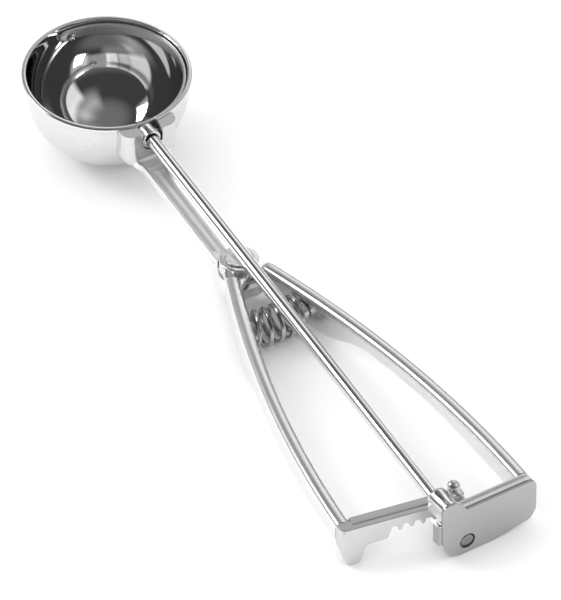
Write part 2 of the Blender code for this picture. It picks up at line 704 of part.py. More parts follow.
def make_rack_bar():
    """The bar with its foot and its rack, whose tooth gaps lie along the rod at mid squeeze."""
    along = 1 / math.cos(RACK_BAR_TILT)
    inner, outer = -RACK_INNER_END * along, FOOT_OUTER * along
    foot_inner = FOOT_INNER * along
    foot_middle = (foot_inner + outer) / 2
    tips = rack_height() - ADDENDUM
    top = MOVING_ARM_TOP
    contact = FOOT_CONTACT / 2
    teeth_end = inner + (RACK_GAP_COUNT - 0.6) * RACK_PITCH
    outline = rounded([
        (inner, tips, 0),
        (inner, top, 0),
        (outer - 0.3 * MM, top, 2.2 * MM),
        (outer + 0.1 * MM, 6.0 * MM, 4.0 * MM),
        (foot_middle + contact + 0.7 * MM, 0, 1.6 * MM),
        (foot_middle - contact - 0.7 * MM, 0, 1.6 * MM),
        (foot_inner - 0.2 * MM, BAR_UNDERSIDE, 2.4 * MM),
        (teeth_end + 1.6 * MM, BAR_UNDERSIDE + 0.2 * MM, 0.8 * MM),
        (teeth_end, tips, 0),
    ])
    bar = flat("rack_bar", [outline], RACK_BAR_THICKNESS, satin)
    bar.parent = pivot
    bar.matrix_local = rack_frame_matrix() @ Matrix.Translation((0, 0, RACK_BAR_THICKNESS / 2))
    bevel = bar.modifiers.new("edges", "BEVEL")
    bevel.width = 0.35 * MM
    bevel.segments = 1
    bevel.limit_method = "ANGLE"
    bevel.angle_limit = math.radians(60)
    return cut(bar, *rack_gap_cutters())


def rack_height():
    """Height of the rack's pitch line, over the pinion at the middle of the bar."""
    return axis_height(GEAR_LEVER + PIVOT_BACK) + PITCH_RADIUS / math.cos(ROD_SLOPE)


def rack_gap_cutters():
    """Wedge cutters for the gaps, placed as the bar stands at mid squeeze and turned back to rest."""
    mouth = (RACK_PITCH - RACK_TIP_WIDTH) / 2
    root = (RACK_PITCH - RACK_ROOT_WIDTH) / 2
    flare = (mouth - root) / (ADDENDUM + DEDENDUM)
    below = 1 * MM
    outline = [
        (mouth + flare * below, -ADDENDUM - below),
        (root, DEDENDUM),
        (-root, DEDENDUM),
        (-mouth - flare * below, -ADDENDUM - below),
    ]
    to_rest = Matrix.Rotation(-SQUEEZE_ANGLE / 2, 4, "Z")
    tilt = Matrix.Rotation(-ROD_SLOPE, 4, "Y")
    turn = Matrix.Rotation(math.pi / 2, 4, "Z") @ Matrix.Rotation(math.pi / 2, 4, "X")
    tools = []
    for i in range(RACK_GAP_COUNT):
        offset = RACK_PHASE + (i - RACK_GAP_COUNT // 2) * RACK_PITCH
        tool = flat("rack_gap_%d" % (i + 1), [outline], 6 * RACK_BAR_THICKNESS)
        tool.parent = pivot
        tool.matrix_local = to_rest @ Matrix.Translation((-GEAR_LEVER, offset, rack_height())) @ tilt @ turn
        tools.append(tool)
    return tools


def make_rack_stop():
    """The ball-ended nub on the rack's inner end, which meets the guide at rest."""
    across = guide_right() - GAP - STOP_BALL_RADIUS - STOP_LEAN
    base = Vector((-GEAR_LEVER, across, MOVING_ARM_TOP + SEAT_GAP))
    ball = base + Vector((0, STOP_LEAN, STOP_BALL_HEIGHT))
    rings = []
    for share, radius in ((0.0, 1.35), (0.12, 1.0), (0.75, 0.8)):
        middle = base.lerp(ball, share)
        ring = []
        for a in angles(12):
            ring.append(middle + Vector((math.cos(a), math.sin(a), 0)) * STOP_NECK_RADIUS * radius)
        rings.append(ring)
    stop = place(loft("rack_stop", rings, polished), pivot)
    shape = bmesh.new()
    bmesh.ops.create_uvsphere(shape, u_segments=16, v_segments=10, radius=STOP_BALL_RADIUS)
    knob = place(from_bmesh("stop_ball", shape), pivot, ball)
    return cut(stop, knob, operation="UNION")


def guide_right():
    return GUIDE_CENTRE - GUIDE_RADIUS


def end_outline(over_guide):
    """Outline of the end bar in (Y, Z), or of the cover plate, which also covers the guide."""
    left, right, top = END_BAR_LEFT, -FIXED_ARM_REACH, END_BAR_TOP
    corners = [
        (0.80 * left, 1.3 * MM, 4.6 * MM),
        (0.3 * left, 0, 3.4 * MM),
        (0.36 * right, 0, 3 * MM),
        (0.93 * right, 2.2 * MM, 3.0 * MM),
        (right, 5.2 * MM, 3.4 * MM),
        (right, top, PLATE_CORNER),
    ]
    if over_guide:
        bump, high = PLATE_BUMP_RADIUS, PLATE_BUMP_TOP
        corners += [(0.1 * MM, top, 0.6 * MM), (GUIDE_CENTRE - 0.62 * bump, high - 0.38 * bump, 0.8 * MM)]
        corners += [(GUIDE_CENTRE - 0.3 * bump, high, bump), (left, high, bump)]
    else:
        corners += [(guide_right() - GAP, top, 0), (guide_right() - GAP, SHOULDER_TOP, 0)]
        corners += [(left, SHOULDER_TOP, 0.5 * MM)]
    return rounded([*corners, (left, 6.4 * MM, 4 * MM)], 4)


def rear_bore(name, radius):
    """Cutter along the rod's axis through the end bar and the cover plate."""
    sections = [(-along_rod(END_BAR_FRONT - 3 * MM), radius), (-along_rod(ROD_REAR + 3 * MM), radius)]
    return place(rod_round(name, sections), rod_frame)


def make_end_bar():
    bar = flat("end_bar", [end_outline(False)], END_BAR_THICKNESS, satin)
    middle = END_BAR_FRONT + END_BAR_THICKNESS / 2
    place(bar, rear_frame, (END_BAR_FRONT - middle, 0, 0), (math.pi / 2, 0, math.pi / 2))
    return cut(bar, rear_bore("rear_bush_seat", REAR_BUSH_RADIUS + RUNNING_GAP))


def make_rear_bush():
    front = -along_rod(END_BAR_FRONT + GAP)
    rear = -along_rod(END_BAR_FRONT + END_BAR_THICKNESS - GAP)
    bush = rod_round("rear_bush", [(front, REAR_BUSH_RADIUS), (rear, REAR_BUSH_RADIUS)], polished)
    place(bush, rod_frame)
    return cut(bush, rear_bore("rear_bush_bore", BORE_RADIUS))


def make_cover_plate():
    """The sheet behind the end bar, with its left edge folded forward."""
    plate = flat("cover_plate", [end_outline(True)], PLATE_THICKNESS, brushed)
    middle = PLATE_FRONT + PLATE_THICKNESS / 2
    place(plate, rear_frame, (END_BAR_FRONT - middle, 0, 0), (math.pi / 2, 0, math.pi / 2))
    thick = PLATE_THICKNESS
    front = END_BAR_FRONT - PLATE_FRONT
    left = END_BAR_LEFT + GAP + thick
    plan = [
        (front - 0.6 * thick, END_BAR_LEFT - 1.2 * MM),
        (front - 0.6 * thick, left - 0.4 * thick),
        (front + 0.2 * thick, left),
        (front + PLATE_LIP, left),
        (front + PLATE_LIP, left - thick),
        (front + 0.2 * thick, left - thick),
        (front - 0.2 * thick, END_BAR_LEFT - 1.2 * MM),
    ]
    low, high = 6.2 * MM, SHOULDER_TOP - 0.4 * MM
    lip = place(flat("plate_lip", [plan], high - low), rear_frame, (0, 0, (low + high) / 2))
    cut(plate, lip, operation="UNION")
    return cut(plate, rear_bore("rod_end_hole", ROD_RADIUS + 0.45 * MM))


def make_rack_guide():
    """A vault over the rack's mouth, closed at the rear by the cover plate."""
    spring_line = GUIDE_TOP - GUIDE_RADIUS
    foot = SHOULDER_TOP + SEAT_GAP
    inner = GUIDE_RADIUS - GUIDE_WALL
    outline = [(GUIDE_CENTRE + GUIDE_RADIUS, foot)]
    outline += arc((GUIDE_CENTRE, spring_line), GUIDE_RADIUS, 0, math.pi, 14)
    outline += [(GUIDE_CENTRE - GUIDE_RADIUS, foot), (GUIDE_CENTRE - inner, foot)]
    outline += arc((GUIDE_CENTRE, spring_line), inner, math.pi, 0, 14)
    outline += [(GUIDE_CENTRE + inner, foot)]
    rear = PLATE_FRONT - SEAT_GAP
    guide = flat("rack_guide", [outline], rear - GUIDE_FRONT, polished)
    middle = (rear + GUIDE_FRONT) / 2
    return place(guide, rear_frame, (END_BAR_FRONT - middle, 0, 0), (math.pi / 2, 0, math.pi / 2))


def make_drive_rod():
    """The rod, with a thinner stub at its front end that passes through the strip's rear tab."""
    shoulder = -(STRIP_RADIUS + SEAT_GAP)
    rear = -along_rod(ROD_REAR)
    edge = 0.3 * MM
    sections = [
        (-(hub_rear() - HUB_LENGTH) + 0.2 * MM, STUB_RADIUS - 0.2 * MM),
        (-(hub_rear() - HUB_LENGTH), STUB_RADIUS),
        (shoulder, STUB_RADIUS),
        (shoulder, ROD_RADIUS),
        (rear + edge, ROD_RADIUS),
        (rear, ROD_RADIUS - edge),
    ]
    return place(rod_round("drive_rod", sections, polished), rod_frame)


def hub_rear():
    return math.sqrt((STRIP_RADIUS - STRIP_THICKNESS) ** 2 - HUB_RADIUS ** 2) - SEAT_GAP


def make_scraper():
    """The strip on a half circle inside the bowl, with a tab past the axis at both ends."""
    rings = []
    for i in range(STRIP_STATIONS + 1):
        a = -STRIP_TAB_ANGLE + (math.pi + 2 * STRIP_TAB_ANGLE) * i / STRIP_STATIONS
        ring = []
        for radius, side in strip_corners():
            height = STRIP_OFFSET + side * STRIP_HALF_WIDTH
            flat_radius = math.sqrt(radius ** 2 - height ** 2)
            ring.append((flat_radius * math.cos(a), -flat_radius * math.sin(a), height))
        rings.append(ring)
    strip = place(loft("scraper_blade", rings, polished), scraper_frame)
    pin_hole, stub_hole = FRONT_PIN_RADIUS + RUNNING_GAP, STUB_RADIUS + RUNNING_GAP
    front = rod_round("tab_pin_hole", [(BOWL_RADIUS, pin_hole), (STRIP_RADIUS / 2, pin_hole)])
    rear = rod_round("tab_stub_hole", [(-STRIP_RADIUS / 2, stub_hole), (-BOWL_RADIUS, stub_hole)])
    for tool in (front, rear):
        place(tool, rod_frame)
    cut(strip, front, rear)

    sections = [(-(hub_rear() - HUB_LENGTH), HUB_RADIUS - 0.2 * MM), (-hub_rear(), HUB_RADIUS)]
    hub = place(rod_round("scraper_hub", sections, polished), rod_frame)
    bore_front, bore_rear = -(hub_rear() - 2 * HUB_LENGTH), -(hub_rear() + HUB_LENGTH)
    bore = rod_round("hub_bore", [(bore_front, stub_hole), (bore_rear, stub_hole)])
    cut(hub, place(bore, rod_frame))
    return strip


def strip_corners():
    """(radius, share of the half width) round the strip's section."""
    outer, inner = STRIP_RADIUS, STRIP_RADIUS - STRIP_THICKNESS
    return [(outer, 1), (outer, 0), (outer, -1), (inner, -1), (inner, 0), (inner, 1)]


def make_front_rivet():
    """Round rivet through the bowl's front wall and the strip's front tab."""
    inside = STRIP_RADIUS - STRIP_THICKNESS - 2 * SEAT_GAP
    outside = BOWL_RADIUS + SEAT_GAP
    head = FRONT_HEAD_RADIUS
    sections = [
        (outside + FRONT_HEAD_HEIGHT, 0.55 * head),
        (outside + 0.6 * FRONT_HEAD_HEIGHT, 0.88 * head),
        (outside, head),
        (outside, FRONT_PIN_RADIUS),
        (inside, FRONT_PIN_RADIUS),
        (inside, head),
        (inside - 0.6 * FRONT_HEAD_HEIGHT, 0.88 * head),
        (inside - FRONT_HEAD_HEIGHT, 0.55 * head),
    ]
    return place(rod_round("front_pivot_rivet", sections, polished), rod_frame)


def make_pinion():
    """Seven long teeth on the rod's rear end, in mesh with the rack at rest."""
    tip, root = PITCH_RADIUS + ADDENDUM - 0.1 * MM, PITCH_RADIUS - DEDENDUM - 0.1 * MM
    turn = SCRAPER_SWEEP / 2 + RACK_PHASE / PITCH_RADIUS
    outline = []
    for i in range(PINION_TEETH):
        middle = math.tau * i / PINION_TEETH + math.pi / 2 - turn
        for side, radius, width in (
            (-1, root, PINION_ROOT_WIDTH),
            (-1, tip, PINION_TIP_WIDTH),
            (1, tip, PINION_TIP_WIDTH),
            (1, root, PINION_ROOT_WIDTH),
        ):
            a = middle + side * math.asin(width / 2 / radius)
            outline.append((radius * math.cos(a), radius * math.sin(a)))
    bore = [(BORE_RADIUS * math.cos(a), BORE_RADIUS * math.sin(a)) for a in angles(ROUND_STEPS)]
    front, rear = along_rod(PINION_FRONT), along_rod(PINION_REAR)
    pinion = flat("pinion", [outline, bore], rear - front, polished)
    return place(pinion, rod_frame, (-(front + rear) / 2, 0, 0), (math.pi / 2, 0, math.pi / 2))


def spring_ends():
    """Where the coil's axis meets both webs square, with the direction away from each web."""
    ends = []
    for side, line in ((1, moving_line), (-1, fixed_line)):
        away = inward(line, side, SPRING_BACK)
        face = Vector((-SPRING_BACK, side * line(SPRING_BACK), SPRING_HEIGHT))
        ends.append((face + away * WEB_THICKNESS, away))
    return ends


def spring_axis(share):
    """A point of the coil's bowed axis from the left web to the right one, and its direction."""
    (left, from_left), (right, from_right) = spring_ends()
    third = (right - left).length / 3
    row = [left, left + from_left * third, right + from_right * third, right]
    while len(row) > 2:
        row = [first.lerp(second, share) for first, second in zip(row, row[1:])]
    return row[0].lerp(row[1], share), (row[1] - row[0]).normalized()


def make_spring():
    """A compression coil between the webs, as one wire with straight ends."""
    radius = COIL_RADIUS - WIRE_RADIUS
    bead = BEAD_WIDTH - WEB_THICKNESS
    span = (spring_axis(0.0)[0] - spring_axis(1.0)[0]).length
    first = (bead + WIRE_RADIUS + GAP) / span
    count = round(SPRING_TURNS * TURN_STEPS)
    points = []
    for i in range(count + 1):
        share = first + (1 - 2 * first) * i / count
        middle, ahead = spring_axis(share)
        side = UP.cross(ahead).normalized()
        a = math.pi - math.tau * i / TURN_STEPS
        points.append(middle + (side * math.cos(a) + UP * math.sin(a)) * radius)
    run = 2 * WIRE_RADIUS
    for at_start in (True, False):
        end = points[0] if at_start else points[-1]
        ahead = spring_axis(0.0 if at_start else 1.0)[1] * (-1 if at_start else 1)
        for distance in (0.5 * run, run + 0.4 * WIRE_RADIUS):
            point = end + ahead * distance
            points.insert(0, point) if at_start else points.append(point)
    print("least gap of the spring to itself: %.2f mm" % (coil_gap(points, count) / MM))

    curve = bpy.data.curves.new("return_spring", "CURVE")
    curve.dimensions = "3D"
    curve.bevel_depth = WIRE_RADIUS
    curve.bevel_resolution = 1
    curve.use_fill_caps = True
    spline = curve.splines.new("POLY")
    spline.points.add(len(points) - 1)
    for point, place_at in zip(spline.points, points):
        point.co = (*place_at, 1)
    spring = bpy.data.objects.new("return_spring", curve)
    parts.objects.link(spring)
    return place(curve_to_mesh(spring, dark), pivot)


def coil_gap(points, count):
    """Least distance between turns, less the wire's thickness."""
    least = min(
        (points[i] - points[j]).length
        for i in range(len(points))
        for j in range(i + TURN_STEPS // 2, len(points))
    )
    return least - 2 * WIRE_RADIUS


def make_pegs():
    """Short pegs on the webs, inside the ends of the coil."""
    for name, share in (("moving_spring_pin", 0.0), ("fixed_spring_pin", 1.0)):
        end, ahead = spring_axis(share)
        inward = ahead if share == 0.0 else -ahead
        start = end + inward * GAP
        side = UP.cross(inward).normalized()
        rings = []
        tip = PEG_RADIUS - 0.6 * MM
        for distance, radius in ((0, PEG_RADIUS), (PEG_LENGTH - 0.6 * MM, PEG_RADIUS), (PEG_LENGTH, tip)):
            middle = start + inward * distance
            rings.append([middle + (side * math.cos(a) + UP * math.sin(a)) * radius for a in angles(16)])
        place(loft(name, rings, satin), pivot)


def settle_origin():
    """Moves everything so that the bottom centre of its box is the origin, and prints what moved."""
    bpy.context.view_layer.update()
    graph = bpy.context.evaluated_depsgraph_get()
    corners = []
    for made in parts.objects:
        if made.type != "MESH":
            continue
        shape = made.evaluated_get(graph)
        corners += [shape.matrix_world @ vertex.co for vertex in shape.data.vertices]
    low = [min(corner[i] for corner in corners) for i in range(3)]
    high = [max(corner[i] for corner in corners) for i in range(3)]
    scoop.location = (-(low[0] + high[0]) / 2, -(low[1] + high[1]) / 2, -low[2])
    print("box low", [round(v / MM, 3) for v in low], "high", [round(v / MM, 3) for v in high])
    print("origin shift", [round(v / MM, 4) for v in scoop.location])


clear_scene()
parts = new_collection("ice_cream_scoop")
cutters = new_collection("cutters")
satin = steel("satin_steel", (0.80, 0.80, 0.80), 0.32)
polished = steel("polished_steel", (0.78, 0.78, 0.78), 0.12)
brushed = steel("brushed_plate", (0.62, 0.62, 0.62), 0.38)
dark = steel("spring_steel", (0.20, 0.20, 0.20), 0.30)

scoop = empty("scoop", None)
rod_frame = empty("rod_frame", scoop, (0, 0, BOWL_RADIUS), (0, -ROD_SLOPE, 0))
scraper_frame = empty("scraper_frame", rod_frame, (0, 0, 0), (-STRIP_REST_RISE, 0, 0))
rear_frame = empty("rear_frame", scoop, (-END_BAR_FRONT, 0, 0), (0, 0, END_BAR_TILT))
pivot = empty("handle_pivot", scoop, (-PIVOT_BACK, 0, 0))
bush_seat = make_bush_seat()

make_bowl()
make_collar()
make_rod_bush()
make_shank()
make_pivot()
make_moving_handle()
make_fixed_handle()
make_rack_bar()
make_rack_stop()
make_end_bar()
make_rear_bush()
make_cover_plate()
make_rack_guide()
make_drive_rod()
make_scraper()
make_front_rivet()
make_pinion()
make_spring()
make_pegs()
settle_origin()
print("pitch radius %.4f mm, lever %.3f mm" % (PITCH_RADIUS / MM, GEAR_LEVER / MM))
print("ratio %.5f, squeeze %.5f deg" % (GEAR_RATIO, math.degrees(SQUEEZE_ANGLE)))
print("slope %.4f deg" % math.degrees(ROD_SLOPE))
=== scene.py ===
"""Looks of a squeeze-handle ice cream scoop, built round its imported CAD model.

Metres, in the CAD's frame: the bowl points along +X, the handles along -X, and z = 0 is the table.
Pieces on the drive rod are built in the rod's own frame, whose origin is the bowl's centre. Round
pieces are lathed, and the arms, the strip and the sheet are lofted. The shank, the rack bar, its
stop and the end bar are remeshed fine and smoothed, which rounds their edges as polishing does on
the real thing.
"""

import math

import bmesh
import bpy
from mathutils import Matrix, Vector


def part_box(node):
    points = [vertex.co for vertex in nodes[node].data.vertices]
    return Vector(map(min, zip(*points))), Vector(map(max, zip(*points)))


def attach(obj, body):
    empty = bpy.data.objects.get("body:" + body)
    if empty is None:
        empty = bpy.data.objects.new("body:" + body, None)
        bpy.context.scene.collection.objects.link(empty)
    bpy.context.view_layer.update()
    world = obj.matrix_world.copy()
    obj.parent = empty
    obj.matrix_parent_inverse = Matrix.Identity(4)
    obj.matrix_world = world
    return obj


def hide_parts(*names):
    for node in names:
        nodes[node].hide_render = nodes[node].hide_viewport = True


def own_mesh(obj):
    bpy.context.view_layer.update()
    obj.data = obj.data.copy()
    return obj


MM = 0.001
UP = Vector((0, 0, 1))
AS_BUILT = Matrix.Identity(4)
QUARTER = math.pi / 2

# Sizes shared with the CAD source
BOWL_RADIUS = 24.6 * MM
BOWL_WALL = 0.8 * MM
RIM_RISE = 4.2 * MM
LIP_OVERHANG = 0.65 * MM
LIP_HEIGHT = 1.2 * MM
PIVOT_BACK = 79.5 * MM
ROD_SLOPE = math.radians(5.749)
ROD_RADIUS = 1.9 * MM
ROD_REAR = 203.35 * MM
BUSH_RADIUS = 2.95 * MM
BUSH_BORE = 2.0 * MM
BUSH_RECESS = 2.45 * MM
BUSH_RECESS_DEPTH = 1.5 * MM
BUSH_LENGTH = 4.2 * MM
SEAT_RADIUS = 3.25 * MM
COLLAR_HALF_WIDTH = 8.8 * MM
COLLAR_REAR = 28.6 * MM
COLLAR_TOP = 3.75 * MM
COLLAR_DEPTH = 9.7 * MM
COLLAR_CORNER = 5.0 * MM
COLLAR_ROUND = 3.4 * MM
STRIP_HALF_WIDTH = 1.9 * MM
STRIP_OFFSET = 0.75 * MM
STRIP_THICKNESS = 0.9 * MM
STRIP_REST_RISE = math.radians(1.3)
STRIP_TAB_ANGLE = math.radians(9.0)
BEAD_WIDTH = 4.4 * MM
BEAD_HEIGHT = 3.5 * MM
WEB_THICKNESS = 3.0 * MM
UPPER_LUG_RADIUS = 5.7 * MM
UPPER_LUG_THICKNESS = 3.9 * MM
RIVET_HEAD_RADIUS = 4.0 * MM
MOVING_ARM_START = 5.4 * MM
MOVING_ARM_REACH = 31.8 * MM
MOVING_ARM_BOW = 1.7
FIXED_ARM_START = 6.3 * MM
FIXED_ARM_REACH = 21.7 * MM
FIXED_ARM_BOW = 2.25
FRONT_WEB_BOTTOM = 1.0 * MM
RACK_BAR_REAR = 196.6 * MM
RACK_BAR_TILT = math.radians(9.2)
RACK_BAR_THICKNESS = 3.6 * MM
END_BAR_FRONT = 199.55 * MM
END_BAR_TILT = math.radians(1.6)
CLEARANCE = 0.3 * MM
END_BAR_LEFT = 7.9 * MM
END_BAR_THICKNESS = 2.8 * MM
GUIDE_MIDDLE = 4.5 * MM
BOWL_ARC_STEPS = 44
BOWL_SIDES = 160
UPPER_LUG_TOP = BOWL_RADIUS - PIVOT_BACK * math.tan(ROD_SLOPE) - 3.2 * MM
LOWER_LUG_TOP = UPPER_LUG_TOP - UPPER_LUG_THICKNESS - 0.8 * MM
MOVING_ARM_TOP = UPPER_LUG_TOP - 0.75 * MM
FIXED_ARM_TOP = UPPER_LUG_TOP - 0.4 * MM
SHOULDER_TOP = MOVING_ARM_TOP + 0.2 * MM
END_BAR_TOP = MOVING_ARM_TOP + 2.75 * MM
GUIDE_TOP = MOVING_ARM_TOP + 6.15 * MM
MOVING_ARM_LENGTH = RACK_BAR_REAR - RACK_BAR_THICKNESS - PIVOT_BACK
FIXED_ARM_LENGTH = END_BAR_FRONT - CLEARANCE - PIVOT_BACK

# The camera: its place from under the bowl's centre on the table, its axes, and its focal length
# in pixels of an image of this height
CAMERA_FROM_BOWL = Vector((-868.7897, 413.6354, 750.7299)) * MM
CAMERA_RIGHT = Vector((-0.493208, -0.869576, -0.024171))
CAMERA_UP = Vector((0.552630, -0.334658, 0.763285))
CAMERA_AHEAD = Vector((0.671823, -0.363100, -0.645609))
FOCAL_PIXELS = 4073.2
IMAGE_HEIGHT = 600
SENSOR = 36.0

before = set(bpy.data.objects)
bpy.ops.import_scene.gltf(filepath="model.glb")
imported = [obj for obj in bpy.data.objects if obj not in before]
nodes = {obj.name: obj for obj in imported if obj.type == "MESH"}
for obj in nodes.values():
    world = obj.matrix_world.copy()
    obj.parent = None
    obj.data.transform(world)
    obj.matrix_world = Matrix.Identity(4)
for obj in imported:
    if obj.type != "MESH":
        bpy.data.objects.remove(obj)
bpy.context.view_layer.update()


def centre(node):
    """The middle of a CAD node's box."""
    low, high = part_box(node)
    return (low + high) / 2


# Frames of the pivot, the bowl, the rod, the scraper's strip, the end bar and the rack bar
pivot_point = centre("pivot_rivet")
PIVOT = Matrix.Translation((pivot_point.x, pivot_point.y, 0))
BOWL = Matrix.Translation((pivot_point.x + PIVOT_BACK, pivot_point.y, 0))
ROD = BOWL @ Matrix.Translation((0, 0, BOWL_RADIUS)) @ Matrix.Rotation(-ROD_SLOPE, 4, "Y")
STRIP = ROD @ Matrix.Rotation(-STRIP_REST_RISE, 4, "X")
REAR = BOWL @ Matrix.Translation((-END_BAR_FRONT, 0, 0)) @ Matrix.Rotation(END_BAR_TILT, 4, "Z")
RACK = BOWL @ Matrix.Translation((-RACK_BAR_REAR, 0, 0)) @ Matrix.Rotation(-RACK_BAR_TILT, 4, "Z")


# Meshes

def finish_mesh(name, shape, matrix=AS_BUILT, sharp=40):
    """An object from a bmesh, moved to the CAD's frame and shaded smooth but for its sharp edges."""
    bmesh.ops.recalc_face_normals(shape, faces=shape.faces)
    mesh = bpy.data.meshes.new(name)
    shape.to_mesh(mesh)
    shape.free()
    mesh.transform(matrix)
    mesh.shade_smooth()
    mesh.set_sharp_from_angle(angle=math.radians(sharp))
    made = bpy.data.objects.new(name, mesh)
    bpy.context.scene.collection.objects.link(made)
    return made


def apply_modifiers(made):
    """Replaces an object's mesh with what its modifiers make of it."""
    bpy.context.view_layer.update()
    graph = bpy.context.evaluated_depsgraph_get()
    mesh = bpy.data.meshes.new_from_object(made.evaluated_get(graph))
    made.modifiers.clear()
    made.data = mesh


def angles(steps, start=0.0, end=math.tau):
    """Evenly spaced angles from the start up to, but without, the end."""
    return [start + (end - start) * i / steps for i in range(steps)]


def arc(middle, radius, start, end, steps):
    """Points on an arc, both ends included, as (u, v) pairs."""
    turns = [start + (end - start) * i / steps for i in range(steps + 1)]
    return [(middle[0] + radius * math.cos(a), middle[1] + radius * math.sin(a)) for a in turns]


def loft(name, rings, matrix=AS_BUILT, sharp=40):
    """Joins rings of equally many points into a skin with flat ends."""
    shape = bmesh.new()
    rows = [[shape.verts.new(point) for point in ring] for ring in rings]
    count = len(rows[0])
    for first, second in zip(rows, rows[1:]):
        for i in range(count):
            j = (i + 1) % count
            shape.faces.new((first[i], first[j], second[j], second[i]))
    shape.faces.new(rows[0])
    shape.faces.new(reversed(rows[-1]))
    return finish_mesh(name, shape, matrix, sharp)


def lathe(name, profile, steps, matrix=AS_BUILT, along="Z", sharp=40):
    """A profile of (radius, height) turned about an axis; a radius of zero makes a pole."""
    shape = bmesh.new()
    rows = []
    for radius, height in profile:
        ring = []
        for a in angles(steps) if radius > 0 else [0.0]:
            across, up = radius * math.cos(a), radius * math.sin(a)
            ring.append(shape.verts.new((across, up, height) if along == "Z" else (height, across, up)))
        rows.append(ring)
    for first, second in zip(rows, rows[1:]):
        for i in range(steps):
            j = (i + 1) % steps
            corners = [row[k % len(row)] for row, k in ((first, i), (first, j), (second, j), (second, i))]
            unique = list(dict.fromkeys(corners))
            if len(unique) > 2:
                shape.faces.new(unique)
    return finish_mesh(name, shape, matrix, sharp)


def rounded(corners, steps):
    """A closed outline from (x, y, radius) corners, with a curve in place of each rounded corner."""
    points = []
    for i, (x, y, radius) in enumerate(corners):
        here = Vector((x, y))
        before = Vector(corners[i - 1][:2]) - here
        after = Vector(corners[(i + 1) % len(corners)][:2]) - here
        if not radius:
            points.append((x, y))
            continue
        most = 0.49 * min(before.length, after.length)
        reach = min(radius / math.tan(before.angle(after) / 2), most)
        start, end = here + before.normalized() * reach, here + after.normalized() * reach
        for k in range(steps + 1):
            point = start.lerp(here, k / steps).lerp(here.lerp(end, k / steps), k / steps)
            points.append((point.x, point.y))
    return points


def softened(points, rounds):
    """A closed outline with its corners cut again and again, which makes it smooth."""
    for _ in range(rounds):
        cut = []
        for i, point in enumerate(points):
            after = points[(i + 1) % len(points)]
            for share in (0.25, 0.75):
                cut.append(tuple(a + (b - a) * share for a, b in zip(point, after)))
        points = cut
    return points


def prism(name, outline, low, high, matrix):
    """A closed (x, y) outline drawn from one height to another."""
    return loft(name, [[(x, y, z) for x, y in outline] for z in (low, high)], matrix)


def tube(name, points, radii, sides):
    """A round tube through points, with a radius for each."""
    rings = []
    for i, point in enumerate(points):
        before, after = points[max(i - 1, 0)], points[min(i + 1, len(points) - 1)]
        ahead = (after - before).normalized()
        nearly_upright = abs(ahead.z) >= 0.95
        side = ahead.cross(Vector((1, 0, 0)) if nearly_upright else UP).normalized()
        lift = side.cross(ahead)
        rings.append([point + (side * math.cos(a) + lift * math.sin(a)) * radii[i] for a in angles(sides)])
    return loft(name, rings, sharp=60)


def boolean(made, tool, operation="DIFFERENCE"):
    """Cuts or joins with a tool, which is then removed."""
    modifier = made.modifiers.new("boolean", "BOOLEAN")
    modifier.operation = operation
    modifier.object = tool
    modifier.solver = "EXACT"
    apply_modifiers(made)
    bpy.data.objects.remove(tool, do_unlink=True)
    return made


def flatten(made, sharp):
    """Shades smooth but for the sharp edges, with the large flat faces kept flat."""
    made.data.shade_smooth()
    made.data.set_sharp_from_angle(angle=math.radians(sharp))
    made.modifiers.new("normals", "WEIGHTED_NORMAL").keep_sharp = True
    apply_modifiers(made)


def bevel(made, width, segments, limit):
    """Rounds the edges sharper than a limit, after joining the faces that lie in one plane."""
    shape = bmesh.new()
    shape.from_mesh(made.data)
    in_plane = math.radians(0.3)
    bmesh.ops.dissolve_limit(shape, angle_limit=in_plane, verts=shape.verts, edges=shape.edges)
    shape.to_mesh(made.data)
    shape.free()
    modifier = made.modifiers.new("bevel", "BEVEL")
    modifier.width = width
    modifier.segments = segments
    modifier.limit_method = "ANGLE"
    modifier.angle_limit = math.radians(limit)
    made.data.shade_smooth()
    made.modifiers.new("normals", "WEIGHTED_NORMAL").keep_sharp = True
    apply_modifiers(made)


def copy_of(node):
    """A new object with a copy of the CAD node's mesh, its double points merged."""
    merge_reach = 0.002 * MM
    made = bpy.data.objects.new(node + "_copy", nodes[node].data.copy())
    made.data.materials.clear()
    bpy.context.scene.collection.objects.link(made)
    shape = bmesh.new()
    shape.from_mesh(made.data)
    bmesh.ops.remove_doubles(shape, verts=shape.verts, dist=merge_reach)
    shape.to_mesh(made.data)
    shape.free()
    return made


def cast(name, solids, axes, voxel, rounds):
    """One skin over overlapping solids with a casting's soft edges, remeshed square to some axes."""
    shape = bmesh.new()
    for solid in solids:
        shape.from_mesh(solid.data)
        bpy.data.objects.remove(solid, do_unlink=True)
    shape.transform(axes.inverted())
    made = finish_mesh(name, shape)
    remesh = made.modifiers.new("remesh", "REMESH")
    remesh.mode = "VOXEL"
    remesh.voxel_size = voxel
    relax = made.modifiers.new("relax", "SMOOTH")
    relax.factor = 0.5
    relax.iterations = rounds
    apply_modifiers(made)
    made.data.transform(axes)
    made.data.shade_smooth()
    return made


def settle(made, body, slot, *materials):
    """Gives a piece its materials and its body; the slot is not used."""
    made.data.materials.clear()
    for material in materials:
        made.data.materials.append(material)
    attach(made, body)


# Materials

SMEAR_SCALE = 90
WAVE_SCALE = 110
EVEN = (1, 1, 1)


def noise(tree, scale, detail, stretch, coordinates):
    """A noise texture over the object's own coordinates, stretched along an axis."""
    mapping = tree.nodes.new("ShaderNodeMapping")
    mapping.inputs["Scale"].default_value = stretch
    tree.links.new(coordinates, mapping.inputs["Vector"])
    texture = tree.nodes.new("ShaderNodeTexNoise")
    texture.inputs["Scale"].default_value = scale
    texture.inputs["Detail"].default_value = detail
    tree.links.new(mapping.outputs["Vector"], texture.inputs["Vector"])
    return texture.outputs["Fac"]


